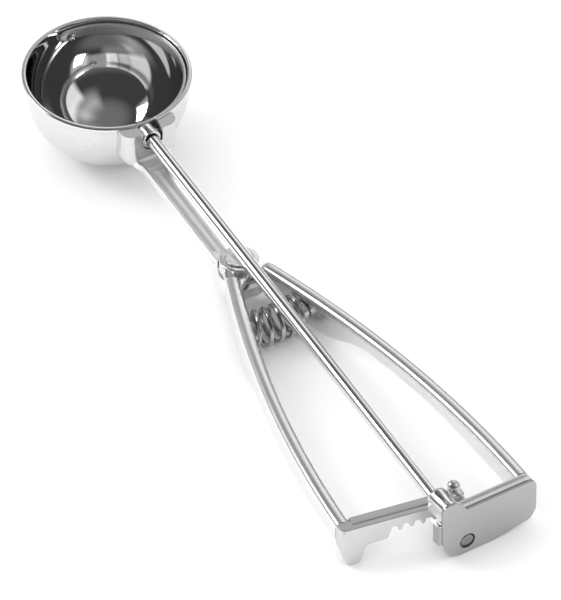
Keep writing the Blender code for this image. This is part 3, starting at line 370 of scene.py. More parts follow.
def spread(tree, value, low, high):
    """Maps the middle of a noise's values, where most of them lie, to a range."""
    ramp = tree.nodes.new("ShaderNodeMapRange")
    ramp.inputs["From Min"].default_value = 0.3
    ramp.inputs["From Max"].default_value = 0.7
    ramp.inputs["To Min"].default_value = low
    ramp.inputs["To Max"].default_value = high
    tree.links.new(value, ramp.inputs["Value"])
    return ramp.outputs["Result"]


def steel(name, shade, roughness, grain, stretch, depth, waviness=0.0, vary=0.04):
    """Stainless steel: a grain in its bump, and smears and wear in its colour and roughness.

    shade is its grey, grain the noise scale per metre, stretch the scale along each axis, depth and
    waviness the height of the grain and of the dents in metres, and vary how much the smears darken.
    """
    made = bpy.data.materials.new(name)
    made.use_nodes = True
    made.diffuse_color = (shade, shade, shade, 1)
    tree = made.node_tree
    shader = tree.nodes["Principled BSDF"]
    shader.inputs["Metallic"].default_value = 1.0
    coordinates = tree.nodes.new("ShaderNodeTexCoord").outputs["Object"]

    smears = noise(tree, SMEAR_SCALE, 4, EVEN, coordinates)
    worn = shade * (1 - vary)
    tint = tree.nodes.new("ShaderNodeMix")
    tint.data_type = "RGBA"
    tint.inputs["A"].default_value = (worn, worn, worn * 1.004, 1)
    tint.inputs["B"].default_value = (shade, shade, shade * 0.998, 1)
    tree.links.new(smears, tint.inputs["Factor"])
    tree.links.new(tint.outputs["Result"], shader.inputs["Base Color"])

    fine = noise(tree, grain, 3, stretch, coordinates)
    rough = spread(tree, smears, roughness * 0.9, roughness * 1.12)
    streaks = spread(tree, fine, -0.12 * roughness, 0.12 * roughness)
    total = tree.nodes.new("ShaderNodeMath")
    total.operation = "ADD"
    tree.links.new(rough, total.inputs[0])
    tree.links.new(streaks, total.inputs[1])
    tree.links.new(total.outputs["Value"], shader.inputs["Roughness"])

    bump = tree.nodes.new("ShaderNodeBump")
    bump.inputs["Distance"].default_value = depth
    bump.inputs["Strength"].default_value = 1.0
    tree.links.new(fine, bump.inputs["Height"])
    if waviness:
        wave = tree.nodes.new("ShaderNodeBump")
        wave.inputs["Distance"].default_value = waviness
        tree.links.new(noise(tree, WAVE_SCALE, 1, EVEN, coordinates), wave.inputs["Height"])
        tree.links.new(wave.outputs["Normal"], bump.inputs["Normal"])
    tree.links.new(bump.outputs["Normal"], shader.inputs["Normal"])
    return made


satin = steel("satin_cast_steel", 0.84, 0.26, 5200, EVEN, 0.0014 * MM)
# The rack bar's cast steel is ground rougher than the arms', and its darker grey is painted shade on the
# bar
ground_painted_shade = steel("ground_painted_shade_cast_steel", 0.68, 0.42, 5200, EVEN, 0.0016 * MM)
# The shank's cast steel is rougher than the arms', and its lighter grey is painted light on the shank
dull_painted_light = steel("dull_painted_light_cast_steel", 0.90, 0.38, 5200, EVEN, 0.001 * MM)
outside = steel("satin_spun_steel", 0.74, 0.25, 4200, (1, 1, 0.35), 0.0012 * MM)
mirror = steel("mirror_spun_steel", 0.84, 0.045, 2600, (1, 1, 0.3), 0.0004 * MM, 0.006 * MM, 0.06)
polished = steel("polished_steel", 0.86, 0.17, 3000, (0.08, 1, 1), 0.001 * MM)
strip_steel = steel("strip_steel", 0.80, 0.30, 3000, EVEN, 0.001 * MM)
brushed = steel("brushed_plate_steel", 0.46, 0.36, 5200, (1, 0.07, 1), 0.002 * MM)
end_face = steel("rod_end_steel", 0.30, 0.30, 4200, EVEN, 0.001 * MM)
dark = steel("spring_wire_steel", 0.54, 0.13, 2400, EVEN, 0.002 * MM, vary=0.15)


# Bowl, collar and bush

def make_bowl():
    """The spun bowl with its narrow rolled lip and the half-round seat of the bush."""
    inside = BOWL_RADIUS - BOWL_WALL
    quarter = angles(BOWL_ARC_STEPS, 0, QUARTER)
    profile = [(inside * math.sin(a), -inside * math.cos(a)) for a in quarter]
    profile += [(inside, 0), (inside, 0.5 * RIM_RISE)]
    edge = 0.3 * MM
    profile += arc((inside + edge, RIM_RISE - edge), edge, math.pi, QUARTER, 4)
    outer = BOWL_RADIUS + LIP_OVERHANG
    round_lip = LIP_HEIGHT / 2
    profile += arc((outer - round_lip, RIM_RISE - round_lip), round_lip, QUARTER, -QUARTER, 10)
    fillet = 0.25 * MM
    profile += arc((BOWL_RADIUS + fillet, RIM_RISE - LIP_HEIGHT - fillet), fillet, QUARTER, math.pi, 4)
    profile += [(BOWL_RADIUS, 0)]
    profile += [(BOWL_RADIUS * math.sin(a), -BOWL_RADIUS * math.cos(a)) for a in reversed(quarter)]
    bowl = lathe("bowl_shell", profile, BOWL_SIDES, ROD, sharp=60)
    boolean(bowl, bush_seat())
    settle(bowl, "frame", "satin_steel", outside, mirror, polished)
    mirror_index, polished_index = 1, 2
    to_rod = ROD.inverted()
    for face in bowl.data.polygons:
        place = to_rod @ face.center
        across = math.hypot(place.x, place.y)
        reach = place.length if place.z < 0 else across
        if place.z > RIM_RISE - 0.4 * MM or place.z > 0 and across > BOWL_RADIUS + 0.3 * MM:
            face.material_index = polished_index
        elif reach < inside + 0.1 * MM:
            face.material_index = mirror_index
    bowl.data.set_sharp_from_angle(angle=math.radians(30))
    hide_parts("bowl")


def bush_seat():
    """The room that is cut for the bush, half round below and open above."""
    outline = arc((0, 0), SEAT_RADIUS, math.pi, math.tau, 24)
    past, above = 3 * MM, RIM_RISE + 2 * MM
    outline += [(SEAT_RADIUS, above), (-SEAT_RADIUS, above)]
    front, rear = BOWL_RADIUS - BOWL_WALL - past, COLLAR_REAR + past
    return loft("bush_seat", [[(-x, y, z) for y, z in outline] for x in (front, rear)], ROD)


def make_collar():
    """The saddle behind the bowl, cut to the bowl's outside and to its lip."""
    sunk = 2.5 * MM
    front = BOWL_RADIUS * math.cos(math.asin(COLLAR_HALF_WIDTH / BOWL_RADIUS)) - sunk
    rings = []
    # The first section lies inside the bowl, and the others round the rear edge
    for turn in [None, *angles(8, 0, QUARTER), QUARTER]:
        inset = 0 if turn is None else COLLAR_ROUND * (1 - math.cos(turn))
        x = front if turn is None else COLLAR_REAR - COLLAR_ROUND * (1 - math.sin(turn))
        wide, deep = COLLAR_HALF_WIDTH - inset, COLLAR_DEPTH - 0.5 * inset
        corner = COLLAR_CORNER - 0.5 * inset
        outline = [(-wide, COLLAR_TOP)]
        outline += arc((-wide + corner, -deep + corner), corner, math.pi, 1.5 * math.pi, 12)
        outline += arc((wide - corner, -deep + corner), corner, 1.5 * math.pi, math.tau, 12)
        outline.append((wide, COLLAR_TOP))
        rings.append([(-x, y, z) for y, z in outline])
    collar = loft("collar_block", rings, ROD)
    room = BOWL_RADIUS + 0.05 * MM
    lip_room = BOWL_RADIUS + LIP_OVERHANG + 0.12 * MM
    above, under = RIM_RISE + 2 * MM, RIM_RISE - LIP_HEIGHT - 0.2 * MM
    profile = [(0, above), (lip_room, above), (lip_room, under), (room, under)]
    quarter = angles(BOWL_ARC_STEPS, 0, QUARTER)
    profile += [(room * math.sin(a), -room * math.cos(a)) for a in reversed(quarter)]
    boolean(collar, lathe("bowl_room", profile, BOWL_SIDES, ROD))
    boolean(collar, bush_seat())
    bevel(collar, 0.28 * MM, 3, 40)
    settle(collar, "frame", "satin_steel", outside)
    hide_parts("neck_collar")


def make_bush():
    """The bush that the rod comes out of, with a wider mouth at its rear."""
    front = -(BOWL_RADIUS - BOWL_WALL + CLEARANCE / 2)
    rear = front - BUSH_LENGTH
    edge = 0.25 * MM
    profile = [(BUSH_BORE, front)]
    profile += arc((BUSH_RADIUS - edge, front - edge), edge, QUARTER, 0, 4)
    profile += arc((BUSH_RADIUS - edge, rear + edge), edge, 0, -QUARTER, 4)
    profile += [(BUSH_RECESS, rear), (BUSH_RECESS - 0.1 * MM, rear + BUSH_RECESS_DEPTH)]
    profile += [(BUSH_BORE, rear + BUSH_RECESS_DEPTH), (BUSH_BORE, front)]
    bush = lathe("bush_sleeve", profile, 64, ROD, "X", sharp=35)
    settle(bush, "frame", "polished_steel", polished)
    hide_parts("rod_bush")


# Rod and scraper

def make_rod():
    """The polished rod, with a slightly domed end in the cover plate's hole."""
    shoulder = -(BOWL_RADIUS - BOWL_WALL - CLEARANCE / 2)
    rear = -ROD_REAR / math.cos(ROD_SLOPE)
    edge = 0.22 * MM
    stub, stub_end = 0.75 * MM, shoulder + 2.1 * MM
    dome, dome_side = 0.07 * MM, 0.04 * MM
    profile = [(0, stub_end), (stub, stub_end), (stub, shoulder), (ROD_RADIUS - edge, shoulder)]
    profile += arc((ROD_RADIUS - edge, shoulder - edge), edge, QUARTER, 0, 3)
    lengths = 24
    profile += [(ROD_RADIUS, shoulder + (rear - shoulder) * i / lengths) for i in range(1, lengths)]
    profile += arc((ROD_RADIUS - edge, rear + edge), edge, 0, -QUARTER, 3)
    profile += [(0.7 * ROD_RADIUS, rear - dome_side), (0, rear - dome)]
    rod = lathe("rod_bar", profile, 64, ROD, "X", sharp=50)
    settle(rod, "rod", "polished_steel", polished, end_face)
    to_rod = ROD.inverted()
    for face in rod.data.polygons:
        if (to_rod @ face.center).x < rear + 0.5 * edge:
            face.material_index = 1
    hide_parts("drive_rod")


def make_scraper():
    """The half-circle strip with a hole in each of its two tabs, and the clamp ring on the stub."""
    outer = BOWL_RADIUS - BOWL_WALL - 0.2 * MM
    inner = outer - STRIP_THICKNESS
    edge = 0.2 * MM
    side = STRIP_HALF_WIDTH - edge
    middles = ((outer - edge, side), (inner + edge, side), (inner + edge, -side), (outer - edge, -side))
    section = []
    for i, middle in enumerate(middles):
        section += arc(middle, edge, i * QUARTER, (i + 1) * QUARTER, 3)
    rings = []
    steps = 120
    sweep = math.pi + 2 * STRIP_TAB_ANGLE
    end_width, taper = 0.72, 1.1 * MM
    for i in range(steps + 1):
        turn = -STRIP_TAB_ANGLE + sweep * i / steps
        past = min(i, steps - i) * sweep / steps * outer
        narrow = end_width + (1 - end_width) * math.sqrt(min(1.0, past / taper))
        ring = []
        for radius, height in section:
            level = STRIP_OFFSET + height * narrow
            reach = math.sqrt(radius ** 2 - level ** 2)
            ring.append((reach * math.cos(turn), -reach * math.sin(turn), level))
        rings.append(ring)
    strip = loft("scraper_strip", rings, STRIP, sharp=50)
    hole = 0.85 * MM
    for low, high in ((outer / 2, BOWL_RADIUS), (-BOWL_RADIUS, -outer / 2)):
        profile = [(0, low), (hole, low), (hole, high), (0, high)]
        boolean(strip, lathe("tab_hole", profile, 24, ROD, "X"))
    strip.data.shade_smooth()
    strip.data.set_sharp_from_angle(angle=math.radians(50))
    settle(strip, "rod", "polished_steel", strip_steel)
    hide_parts("scraper_blade")

    hub = copy_of("scraper_hub")
    hub.name = "scraper_clamp_ring"
    bevel(hub, 0.12 * MM, 2, 40)
    settle(hub, "rod", "polished_steel", polished)
    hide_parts("scraper_hub")


def make_front_rivet():
    """The domed rivet through the strip's front tab."""
    inside = BOWL_RADIUS - BOWL_WALL - CLEARANCE - STRIP_THICKNESS - CLEARANCE
    outer = BOWL_RADIUS + CLEARANCE / 2
    head, pin, rise = 1.3 * MM, 0.7 * MM, 0.75 * MM
    quarter = angles(8, 0, QUARTER)
    profile = [(head * math.sin(a), inside - rise * math.cos(a)) for a in quarter]
    profile += [(head, inside), (pin, inside), (pin, outer), (head, outer)]
    profile += [(head * math.cos(a), outer + rise * math.sin(a)) for a in quarter[1:]]
    profile.append((0, outer + rise))
    rivet = lathe("scraper_rivet", profile, 40, ROD, "X", sharp=50)
    settle(rivet, "frame", "polished_steel", polished)
    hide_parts("front_pivot_rivet")


# Shank and handles

def make_shank():
    """The grooved bar and the lower lug, with a flare that closes it on the collar."""
    # Place ahead of the collar's rear, half width, top and bottom, in millimetres
    stations = (
        (0.4, 6.4, -5.4, -9.0),
        (-0.5, 5.2, -6.3, -9.8),
        (-1.6, 4.7, -6.6, -10.2),
        (-4, 4.5, -6.8, -10.2),
    )
    upper, lower = 0.8, 1.8
    rings = []
    for x, wide, top, bottom in stations:
        corners = [(-wide, top, upper), (-wide, bottom, lower), (wide, bottom, lower), (wide, top, upper)]
        rings.append([(x * MM - COLLAR_REAR, y * MM, z * MM) for y, z in rounded(corners, 4)])
    flare = loft("flare", rings, ROD)
    shank = cast("shank_casting", [copy_of("shank"), flare], ROD, 0.16 * MM, 9)
    # The dull steel's lighter grey paints light on the shank
    settle(shank, "frame", "satin_steel", dull_painted_light)
    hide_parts("shank")


def eased(value, low, high):
    """0 below low, 1 above high, and smooth between them."""
    share = min(1.0, max(0.0, (value - low) / (high - low)))
    return share * share * (3 - 2 * share)


def arm_line(back, start, reach, bow, length):
    """Distance from the rod's plane to an arm's outer face, at a distance behind the pivot."""
    share = back / length
    return start + (reach - start) * (bow * share - (bow - 1) * share * share)


def moving_line(back):
    return arm_line(back, MOVING_ARM_START, MOVING_ARM_REACH, MOVING_ARM_BOW, MOVING_ARM_LENGTH)


def fixed_line(back):
    return arm_line(back, FIXED_ARM_START, FIXED_ARM_REACH, FIXED_ARM_BOW, FIXED_ARM_LENGTH)


def moving_levels(back):
    """Heights of the moving arm's top and of its web's lower edge, which rises in two steps."""
    share = back / MOVING_ARM_LENGTH
    rise = 3.8 * MM * eased(share, 0.22, 0.42) + 1.6 * MM * eased(share, 0.75, 0.9)
    return MOVING_ARM_TOP, FRONT_WEB_BOTTOM + rise


def fixed_levels(back):
    """Heights of the fixed arm's top, which rises to the end bar, and of its web's lower edge."""
    share = back / FIXED_ARM_LENGTH
    rise = 5.8 * MM * eased(share, 0.22, 0.4) - 1.2 * MM * eased(share, 0.6, 0.85)
    return FIXED_ARM_TOP + (END_BAR_TOP - FIXED_ARM_TOP) * share, FRONT_WEB_BOTTOM + rise


def arm_section(depth):
    """The arm's section as (inward from the outer face, down from the top)."""
    edge = 0.6 * MM
    points = [
        (edge, depth),
        (0, depth - edge),
        (0, 0.60 * BEAD_HEIGHT),
        (0.02 * BEAD_WIDTH, 0.36 * BEAD_HEIGHT),
        (0.10 * BEAD_WIDTH, 0.16 * BEAD_HEIGHT),
        (0.26 * BEAD_WIDTH, 0.035 * BEAD_HEIGHT),
        (0.42 * BEAD_WIDTH, 0),
        (0.58 * BEAD_WIDTH, 0),
        (0.74 * BEAD_WIDTH, 0.035 * BEAD_HEIGHT),
        (0.90 * BEAD_WIDTH, 0.16 * BEAD_HEIGHT),
        (0.98 * BEAD_WIDTH, 0.36 * BEAD_HEIGHT),
        (BEAD_WIDTH, 0.52 * BEAD_HEIGHT),
        (BEAD_WIDTH, 0.70 * BEAD_HEIGHT),
        (0.88 * BEAD_WIDTH, 0.92 * BEAD_HEIGHT),
        (WEB_THICKNESS, BEAD_HEIGHT),
        (WEB_THICKNESS, 1.12 * BEAD_HEIGHT),
        (WEB_THICKNESS, depth - edge),
        (WEB_THICKNESS - edge, depth),
    ]
    return softened(points, 2)


def arm(name, side, line, levels, front, rear, tilt, nose):
    """An arm from its round nose to its rear end, which lies square to the bar behind it.

    side is 1 on the left and -1 on the right, and nose is how far the round end reaches ahead of
    the front. The round end also dips, in the part of it that is nearest to the top.
    """
    stations, nose_stations, nose_step = 90, 7, math.radians(12.5)
    dip, dip_depth = 1.7 * MM, 4 * MM
    step = 0.1 * MM
    rings = []
    for i in range(-nose_stations, stations + 1):
        turn = nose_step * max(0, -i)
        back = front + (rear - front) * max(0, i) / stations
        slope = (line(back + step) - line(back - step)) / (2 * step)
        across = Vector((-slope, -side, 0)).normalized()
        if i == stations:
            across = Vector((-math.sin(tilt), -side * math.cos(tilt), 0))
        ahead = UP.cross(across) * side
        top, bottom = levels(back)
        origin = Vector((-back, side * line(back), top)) + ahead * nose * math.sin(turn)
        narrow = math.cos(turn) ** 0.6
        sunk = dip * (1 - math.cos(turn))
        ring = []
        for wide, down in arm_section(top - bottom):
            wide = BEAD_WIDTH / 2 + (wide - BEAD_WIDTH / 2) * narrow
            down += sunk * max(0.0, 1 - down / dip_depth)
            ring.append(origin + across * wide - UP * down)
        rings.append(ring)
    return loft(name, rings, PIVOT, sharp=60)


def arm_root():
    """The ramp from the upper lug down to the front of the moving arm."""
    low = UPPER_LUG_TOP - UPPER_LUG_THICKNESS + 0.05 * MM
    radius = UPPER_LUG_RADIUS
    # Place behind the pivot in millimetres, outer side, inner side and top
    stations = [
        (-1.2, radius - 0.3 * MM, -radius + 0.4 * MM, UPPER_LUG_TOP - 0.1 * MM),
        (2.0, moving_line(2.0 * MM), -radius + 0.7 * MM, UPPER_LUG_TOP - 0.25 * MM),
        (4.6, moving_line(4.6 * MM) - 0.1 * MM, -1.6 * MM, MOVING_ARM_TOP - 1.05 * MM),
        (7.2, moving_line(7.2 * MM) - 0.2 * MM, 1.6 * MM, MOVING_ARM_TOP - 1.4 * MM),
        (10.0, moving_line(10.0 * MM) - 0.6 * MM, 5.2 * MM, MOVING_ARM_TOP - 1.75 * MM),
    ]
    steps = 6
    rings = []
    for first, second in zip(stations, stations[1:]):
        for k in range(steps):
            back, outer, inner, high = (a + (b - a) * k / steps for a, b in zip(first, second))
            rings.append(root_ring(back * MM, outer, inner, low, high))
    back, outer, inner, high = stations[-1]
    rings.append(root_ring(back * MM, outer, inner, low, high))
    return loft("root", rings, PIVOT, sharp=60)


def root_ring(back, outer, inner, low, high):
    """One section of the ramp, with its upper edges rounder than its lower ones."""
    edge = 0.5 * MM
    corners = [(inner, low, edge), (outer, low, edge), (outer, high, 2 * edge), (inner, high, 2 * edge)]
    return [(-back, y, z) for y, z in rounded(corners, 4)]


def make_moving_arm():
    """The left arm with its upper lug, in which the rivet's head is sunk."""
    rear = (MOVING_ARM_LENGTH - MOVING_ARM_REACH * math.tan(RACK_BAR_TILT)
            + RACK_BAR_THICKNESS - RACK_BAR_THICKNESS / math.cos(RACK_BAR_TILT) - 0.02 * MM)
    made = arm("moving_arm", 1, moving_line, moving_levels, 4.9 * MM, rear, RACK_BAR_TILT, 2.2 * MM)
    bottom, edge = UPPER_LUG_TOP - UPPER_LUG_THICKNESS, 0.45 * MM
    profile = [(0, bottom), (UPPER_LUG_RADIUS - 0.3 * MM, bottom), (UPPER_LUG_RADIUS, bottom + 0.3 * MM)]
    profile += arc((UPPER_LUG_RADIUS - edge, UPPER_LUG_TOP - edge), edge, 0, QUARTER, 5)
    boolean(made, arm_root(), "UNION")
    boolean(made, lathe("lug", [*profile, (0, UPPER_LUG_TOP)], 72, PIVOT), "UNION")
    seat, room, bore = UPPER_LUG_TOP - 0.65 * MM, RIVET_HEAD_RADIUS + 0.25 * MM, 2.1 * MM
    below, above = bottom - MM, UPPER_LUG_TOP + 2 * MM
    profile = [(0, below), (bore, below), (bore, seat), (room, seat), (room, above), (0, above)]
    boolean(made, lathe("seat", profile, 72, PIVOT))
    flatten(made, 38)
    settle(made, "moving_handle_body", "satin_steel", satin)
    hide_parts("moving_handle")


def make_rack_bar():
    """The cross bar with its teeth and foot, and in front of a fine crease the bead along its top."""
    low, high = 9.9 * MM, MOVING_ARM_TOP
    front, crease, gap = 5.4 * MM, 1.7 * MM, 0.14 * MM
    inner, outer = 1.6 * MM, 28.1 * MM
    outline = rounded([
        (crease + gap, low, 0.2 * MM),
        (front - 0.3 * MM, low, 0.9 * MM),
        (front, high, 1.3 * MM),
        (crease + gap, high, 0.5 * MM),
    ], 6)
    bead = loft("bead", [[(x, y, z) for x, z in outline] for y in (inner, outer)], RACK)
    room = [(crease, inner - 0.1 * MM), (6 * MM, inner - 0.1 * MM), (6 * MM, outer), (crease, outer)]
    body = boolean(copy_of("rack_bar"), prism("room", room, low + 0.2 * MM, high + 2 * MM, RACK))
    # The rounded corner behind the left arm, in millimetres
    plan = [(3.57, 28.2), (3.57, 32.3), (1.8, 32.2), (0.6, 31.7), (0.05, 30.6), (0.05, 28.2)]
    plan = [(x * MM, y * MM) for x, y in plan]
    corner = prism("corner", plan, 5.6 * MM, high, RACK)
    bar = cast("rack_bar_casting", [body, corner], RACK, 0.14 * MM, 5)
    join_skin(bar, bead)
    # The ground steel's darker grey paints shade on the rack bar
    settle(bar, "moving_handle_body", "satin_steel", ground_painted_shade)
    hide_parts("rack_bar")


def join_skin(made, other):
    """Adds another piece's closed skin, which overlaps the first one."""
    shape = bmesh.new()
    shape.from_mesh(made.data)
    shape.from_mesh(other.data)
    shape.to_mesh(made.data)
    shape.free()
    bpy.data.objects.remove(other, do_unlink=True)


def make_fixed_side():
    """The right arm with its crotch wall, and the end bar with the channel along its top."""
    rear = FIXED_ARM_LENGTH - FIXED_ARM_REACH * math.tan(END_BAR_TILT) + 0.25 * MM
    made = arm("fixed_arm", -1, fixed_line, fixed_levels, 6.1 * MM, rear, -END_BAR_TILT, 2.4 * MM)
    inner, outer = 6.5 * MM, 8.6 * MM
    start, end = math.radians(157), math.radians(236)
    outline = arc((0, 0), inner, start, end, 24) + arc((0, 0), outer, end, start, 24)
    boolean(made, prism("crotch_wall", outline, 5.4 * MM, LOWER_LUG_TOP, PIVOT), "UNION")
    flatten(made, 38)
    settle(made, "frame", "satin_steel", satin)
    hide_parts("fixed_handle")
    middle, half, deep = -0.5 * END_BAR_THICKNESS, 0.62 * MM, 0.5 * MM
    channel = arc((middle, 1.1 * MM - FIXED_ARM_REACH), half, math.pi, math.tau, 12)
    channel += arc((middle, 0.2 * MM), half, 0, math.pi, 12)
    tool = prism("channel", channel, END_BAR_TOP - deep, END_BAR_TOP + MM, REAR)
    bar = cast("end_bar_casting", [boolean(copy_of("end_bar"), tool)], REAR, 0.13 * MM, 4)
    settle(bar, "frame", "satin_steel", satin)
    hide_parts("end_bar")


def make_cover_plate():
    """The satin sheet behind the end bar, with soft edges and the rod's hole."""
    left, right = END_BAR_LEFT, -FIXED_ARM_REACH
    bump, high = 3.4 * MM, GUIDE_TOP + 0.5 * MM
    outline = rounded([
        (0.80 * left, 1.3 * MM, 4.6 * MM),
        (0.3 * left, 0, 3.4 * MM),
        (0.36 * right, 0, 3 * MM),
        (0.93 * right, 2.2 * MM, 3.0 * MM),
        (right, 5.2 * MM, 3.4 * MM),
        (right, END_BAR_TOP, 2.4 * MM),
        (0.1 * MM, END_BAR_TOP, 0.6 * MM),
        (GUIDE_MIDDLE - 0.62 * bump, high - 0.38 * bump, 0.8 * MM),
        (GUIDE_MIDDLE - 0.3 * bump, high, bump),
        (left, high, bump),
        (left, 6.4 * MM, 4 * MM),
    ], 10)
    front, thick = -END_BAR_THICKNESS - CLEARANCE, 0.8 * MM
    rings = [[(x, y, z) for y, z in outline] for x in (front, front - thick)]
    plate = loft("cover_plate_sheet", rings, REAR)
    fold, lap, long = left + CLEARANCE + thick, 1.2 * MM, 2.4 * MM
    plan = [
        (front - 0.6 * thick, left - lap),
        (front - 0.6 * thick, fold - 0.4 * thick),
        (front + 0.2 * thick, fold),
        (front + long, fold),
        (front + long, fold - thick),
        (front + 0.2 * thick, fold - thick),
        (front - 0.2 * thick, left - lap),
    ]
    boolean(plate, prism("fold", plan, 6.2 * MM, SHOULDER_TOP - 0.4 * MM, REAR), "UNION")
    hole, behind, ahead = ROD_RADIUS + 0.45 * MM, -250 * MM, -150 * MM
    profile = [(0, behind), (hole, behind), (hole, ahead), (0, ahead)]
    boolean(plate, lathe("hole", profile, 64, ROD, "X"))
    bevel(plate, 0.3 * MM, 4, 50)
    settle(plate, "frame", "brushed_plate", brushed)
    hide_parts("cover_plate")


def make_guide():
    """The polished vault over the rack's mouth, waisted between its rims."""
    foot, radius, thick = SHOULDER_TOP + 0.15 * MM, 3.1 * MM, 0.8 * MM
    front, rear = END_BAR_FRONT - 195.2 * MM, -END_BAR_THICKNESS - CLEARANCE + 0.15 * MM
    middle = (GUIDE_MIDDLE, GUIDE_TOP - radius)
    inner = radius - thick
    # Share of the length and how far the outside is waisted there, in millimetres
    waists = (
        (0, 0.12),
        (0.02, 0),
        (0.12, 0.02),
        (0.3, 0.2),
        (0.55, 0.28),
        (0.8, 0.2),
        (0.95, 0.03),
        (1, 0.1),
    )
    rings = []
    for share, waist in waists:
        outer = radius - waist * MM
        outline = [(GUIDE_MIDDLE + outer, foot), *arc(middle, outer, 0, math.pi, 28)]
        outline += [(GUIDE_MIDDLE - outer, foot), (GUIDE_MIDDLE - inner, foot)]
        outline += [*arc(middle, inner, math.pi, 0, 28), (GUIDE_MIDDLE + inner, foot)]
        rings.append([(front + (rear - front) * share, y, z) for y, z in outline])
    guide = loft("guide_vault", rings, REAR, sharp=45)
    settle(guide, "frame", "polished_steel", polished)
    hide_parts("rack_guide")


def make_stop():
    """The ball-ended hook on the rack's inner end."""
    low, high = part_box("rack_stop")
    ball = 1.9 * MM
    base = Vector(((low.x + high.x) / 2, low.y + 1.35 * MM, low.z))
    top = Vector((base.x, high.y - ball, high.z - ball))
    points = [base, base.lerp(top, 0.3) + Vector((0, -0.25 * MM, 0)), base.lerp(top, 0.7), top]
    neck = tube("neck", points, [1.55 * MM, 1.25 * MM, 1.2 * MM, 1.3 * MM], 24)
    profile = [(ball * math.sin(a), -ball * math.cos(a)) for a in angles(16, 0, math.pi)]
    head = lathe("head", [*profile, (0, ball)], 32, Matrix.Translation(top))
    stop = cast("stop_hook", [neck, head], AS_BUILT, 0.12 * MM, 8)
    settle(stop, "moving_handle_body", "polished_steel", satin)
    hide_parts("rack_stop")


def make_pivot():
    """The flat rivet head in its seat, with its tail under the lower lug."""
    low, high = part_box("pivot_rivet")
    head, shaft, edge = RIVET_HEAD_RADIUS, 2.0 * MM, 0.22 * MM
    top, seat = high.z, high.z - 1.0 * MM
    tail_top = low.z + 0.8 * MM
    profile = [(0, low.z), (2.3 * MM, low.z), (3.1 * MM, low.z + 0.35 * MM), (3.2 * MM, tail_top)]
    profile += [(shaft, tail_top), (shaft, seat), (head, seat)]
    profile += arc((head - edge, top - edge), edge, 0, QUARTER, 4)
    profile += [(head - 1.5 * edge, top), (0, top)]
    rivet = lathe("pivot_rivet_head", profile, 64, PIVOT)
    settle(rivet, "frame", "satin_steel", satin)
    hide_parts("pivot_rivet")


def make_pinion():
    """The CAD's pinion with softer edges."""
    pinion = copy_of("pinion")
    pinion.name = "pinion_gear"
    bevel(pinion, 0.1 * MM, 2, 25)
    settle(pinion, "rod", "polished_steel", polished)
    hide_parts("pinion")


# Spring

def make_spring():
    """The compression coil, made round, which the handles squeeze towards the right arm."""
    spring = copy_of("return_spring")
    spring.name = "spring_coil"
    settle(spring, "frame", "spring_steel", dark)
    subdivide = spring.modifiers.new("round", "SUBSURF")
    subdivide.levels = subdivide.render_levels = 2
    apply_modifiers(spring)
    spring.data.shade_smooth()
    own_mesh(spring)
    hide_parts("return_spring")


def dress_plain_nodes():
    """Gives a finish to the CAD pieces whose shape is right."""
    finishes = {
        "pivot_washer": polished,
        "rear_bush": polished,
        "fixed_spring_pin": satin,
        "moving_spring_pin": satin,
    }
    for node, material in finishes.items():
        nodes[node].data.materials.clear()
        nodes[node].data.materials.append(material)


# Stage, lights and camera

# Radiance of the white room, and of what is mirrored: the dark between the walls, the horizon and
# the ceiling
AMBIENT = 1.26
DARK_ROOM = 0.05
HORIZON = 0.16
CEILING = 0.12
# Heights of a direction, from 0 at the horizon to 1 overhead, between which these two fade in
HORIZON_FADE = (0.45, 0.2)
CEILING_FADE = (math.sin(math.radians(54)), math.sin(math.radians(80)))
# Bright walls round the object: left and right azimuth, foot and head elevation, the softness of
# the edges in degrees, and the radiance
WALLS = (
    (-100, -56, 18, 50, 7, 0.50),
    (-62, 6, 12, 47, 6, 0.36),
    (0, 31, 21, 47, 4, 0.92),
    (31, 62, 21, 46, 4, 0.66),
    (62, 121, 19, 46, 6, 0.82),
    (78, 148, 50, 74, 16, 0.42),
    (-10, 92, 48, 70, 16, 0.26),
)


def make_floor():
    """A white table with no gloss."""
    shape = bmesh.new()
    bmesh.ops.create_circle(shape, cap_ends=True, segments=64, radius=3.0)
    floor = finish_mesh("floor", shape)
    paint = bpy.data.materials.new("white_table")
    paint.use_nodes = True
    shader = paint.node_tree.nodes["Principled BSDF"]
    shader.inputs["Base Color"].default_value = (0.9, 0.9, 0.9, 1)
    shader.inputs["Roughness"].default_value = 0.9
    shader.inputs["Specular IOR Level"].default_value = 0.0
    floor.data.materials.append(paint)


def light_direction(azimuth, elevation):
    """The direction with an azimuth from straight ahead of the camera, positive to its right.

    Both angles are in degrees.
    """
    far = Vector((CAMERA_AHEAD.x, CAMERA_AHEAD.y, 0)).normalized()
    right = Vector((CAMERA_RIGHT.x, CAMERA_RIGHT.y, 0)).normalized()
    a, e = math.radians(azimuth), math.radians(elevation)
    return (far * math.cos(a) + right * math.sin(a)) * math.cos(e) + UP * math.sin(e)


def make_light(name, azimuth, elevation, distance, side, radiance):
    """A square softbox that faces the object; radiance is how bright it looks, 1 being white."""
    light = bpy.data.lights.new(name, "AREA")
    light.shape = "SQUARE"
    light.size = side
    light.energy = radiance * math.pi * side * side
    made = bpy.data.objects.new(name, light)
    bpy.context.scene.collection.objects.link(made)
    towards = light_direction(azimuth, elevation)
    made.location = towards * distance
    made.rotation_euler = towards.to_track_quat("Z", "Y").to_euler()


def soft_step(tree, value, off, on):
    """0 where the value is past off, 1 where it is past on, and smooth between them."""
    step = tree.nodes.new("ShaderNodeMapRange")
    step.interpolation_type = "SMOOTHSTEP"
    step.inputs["From Min"].default_value = off
    step.inputs["From Max"].default_value = on
    tree.links.new(value, step.inputs["Value"])
    return step.outputs["Result"]


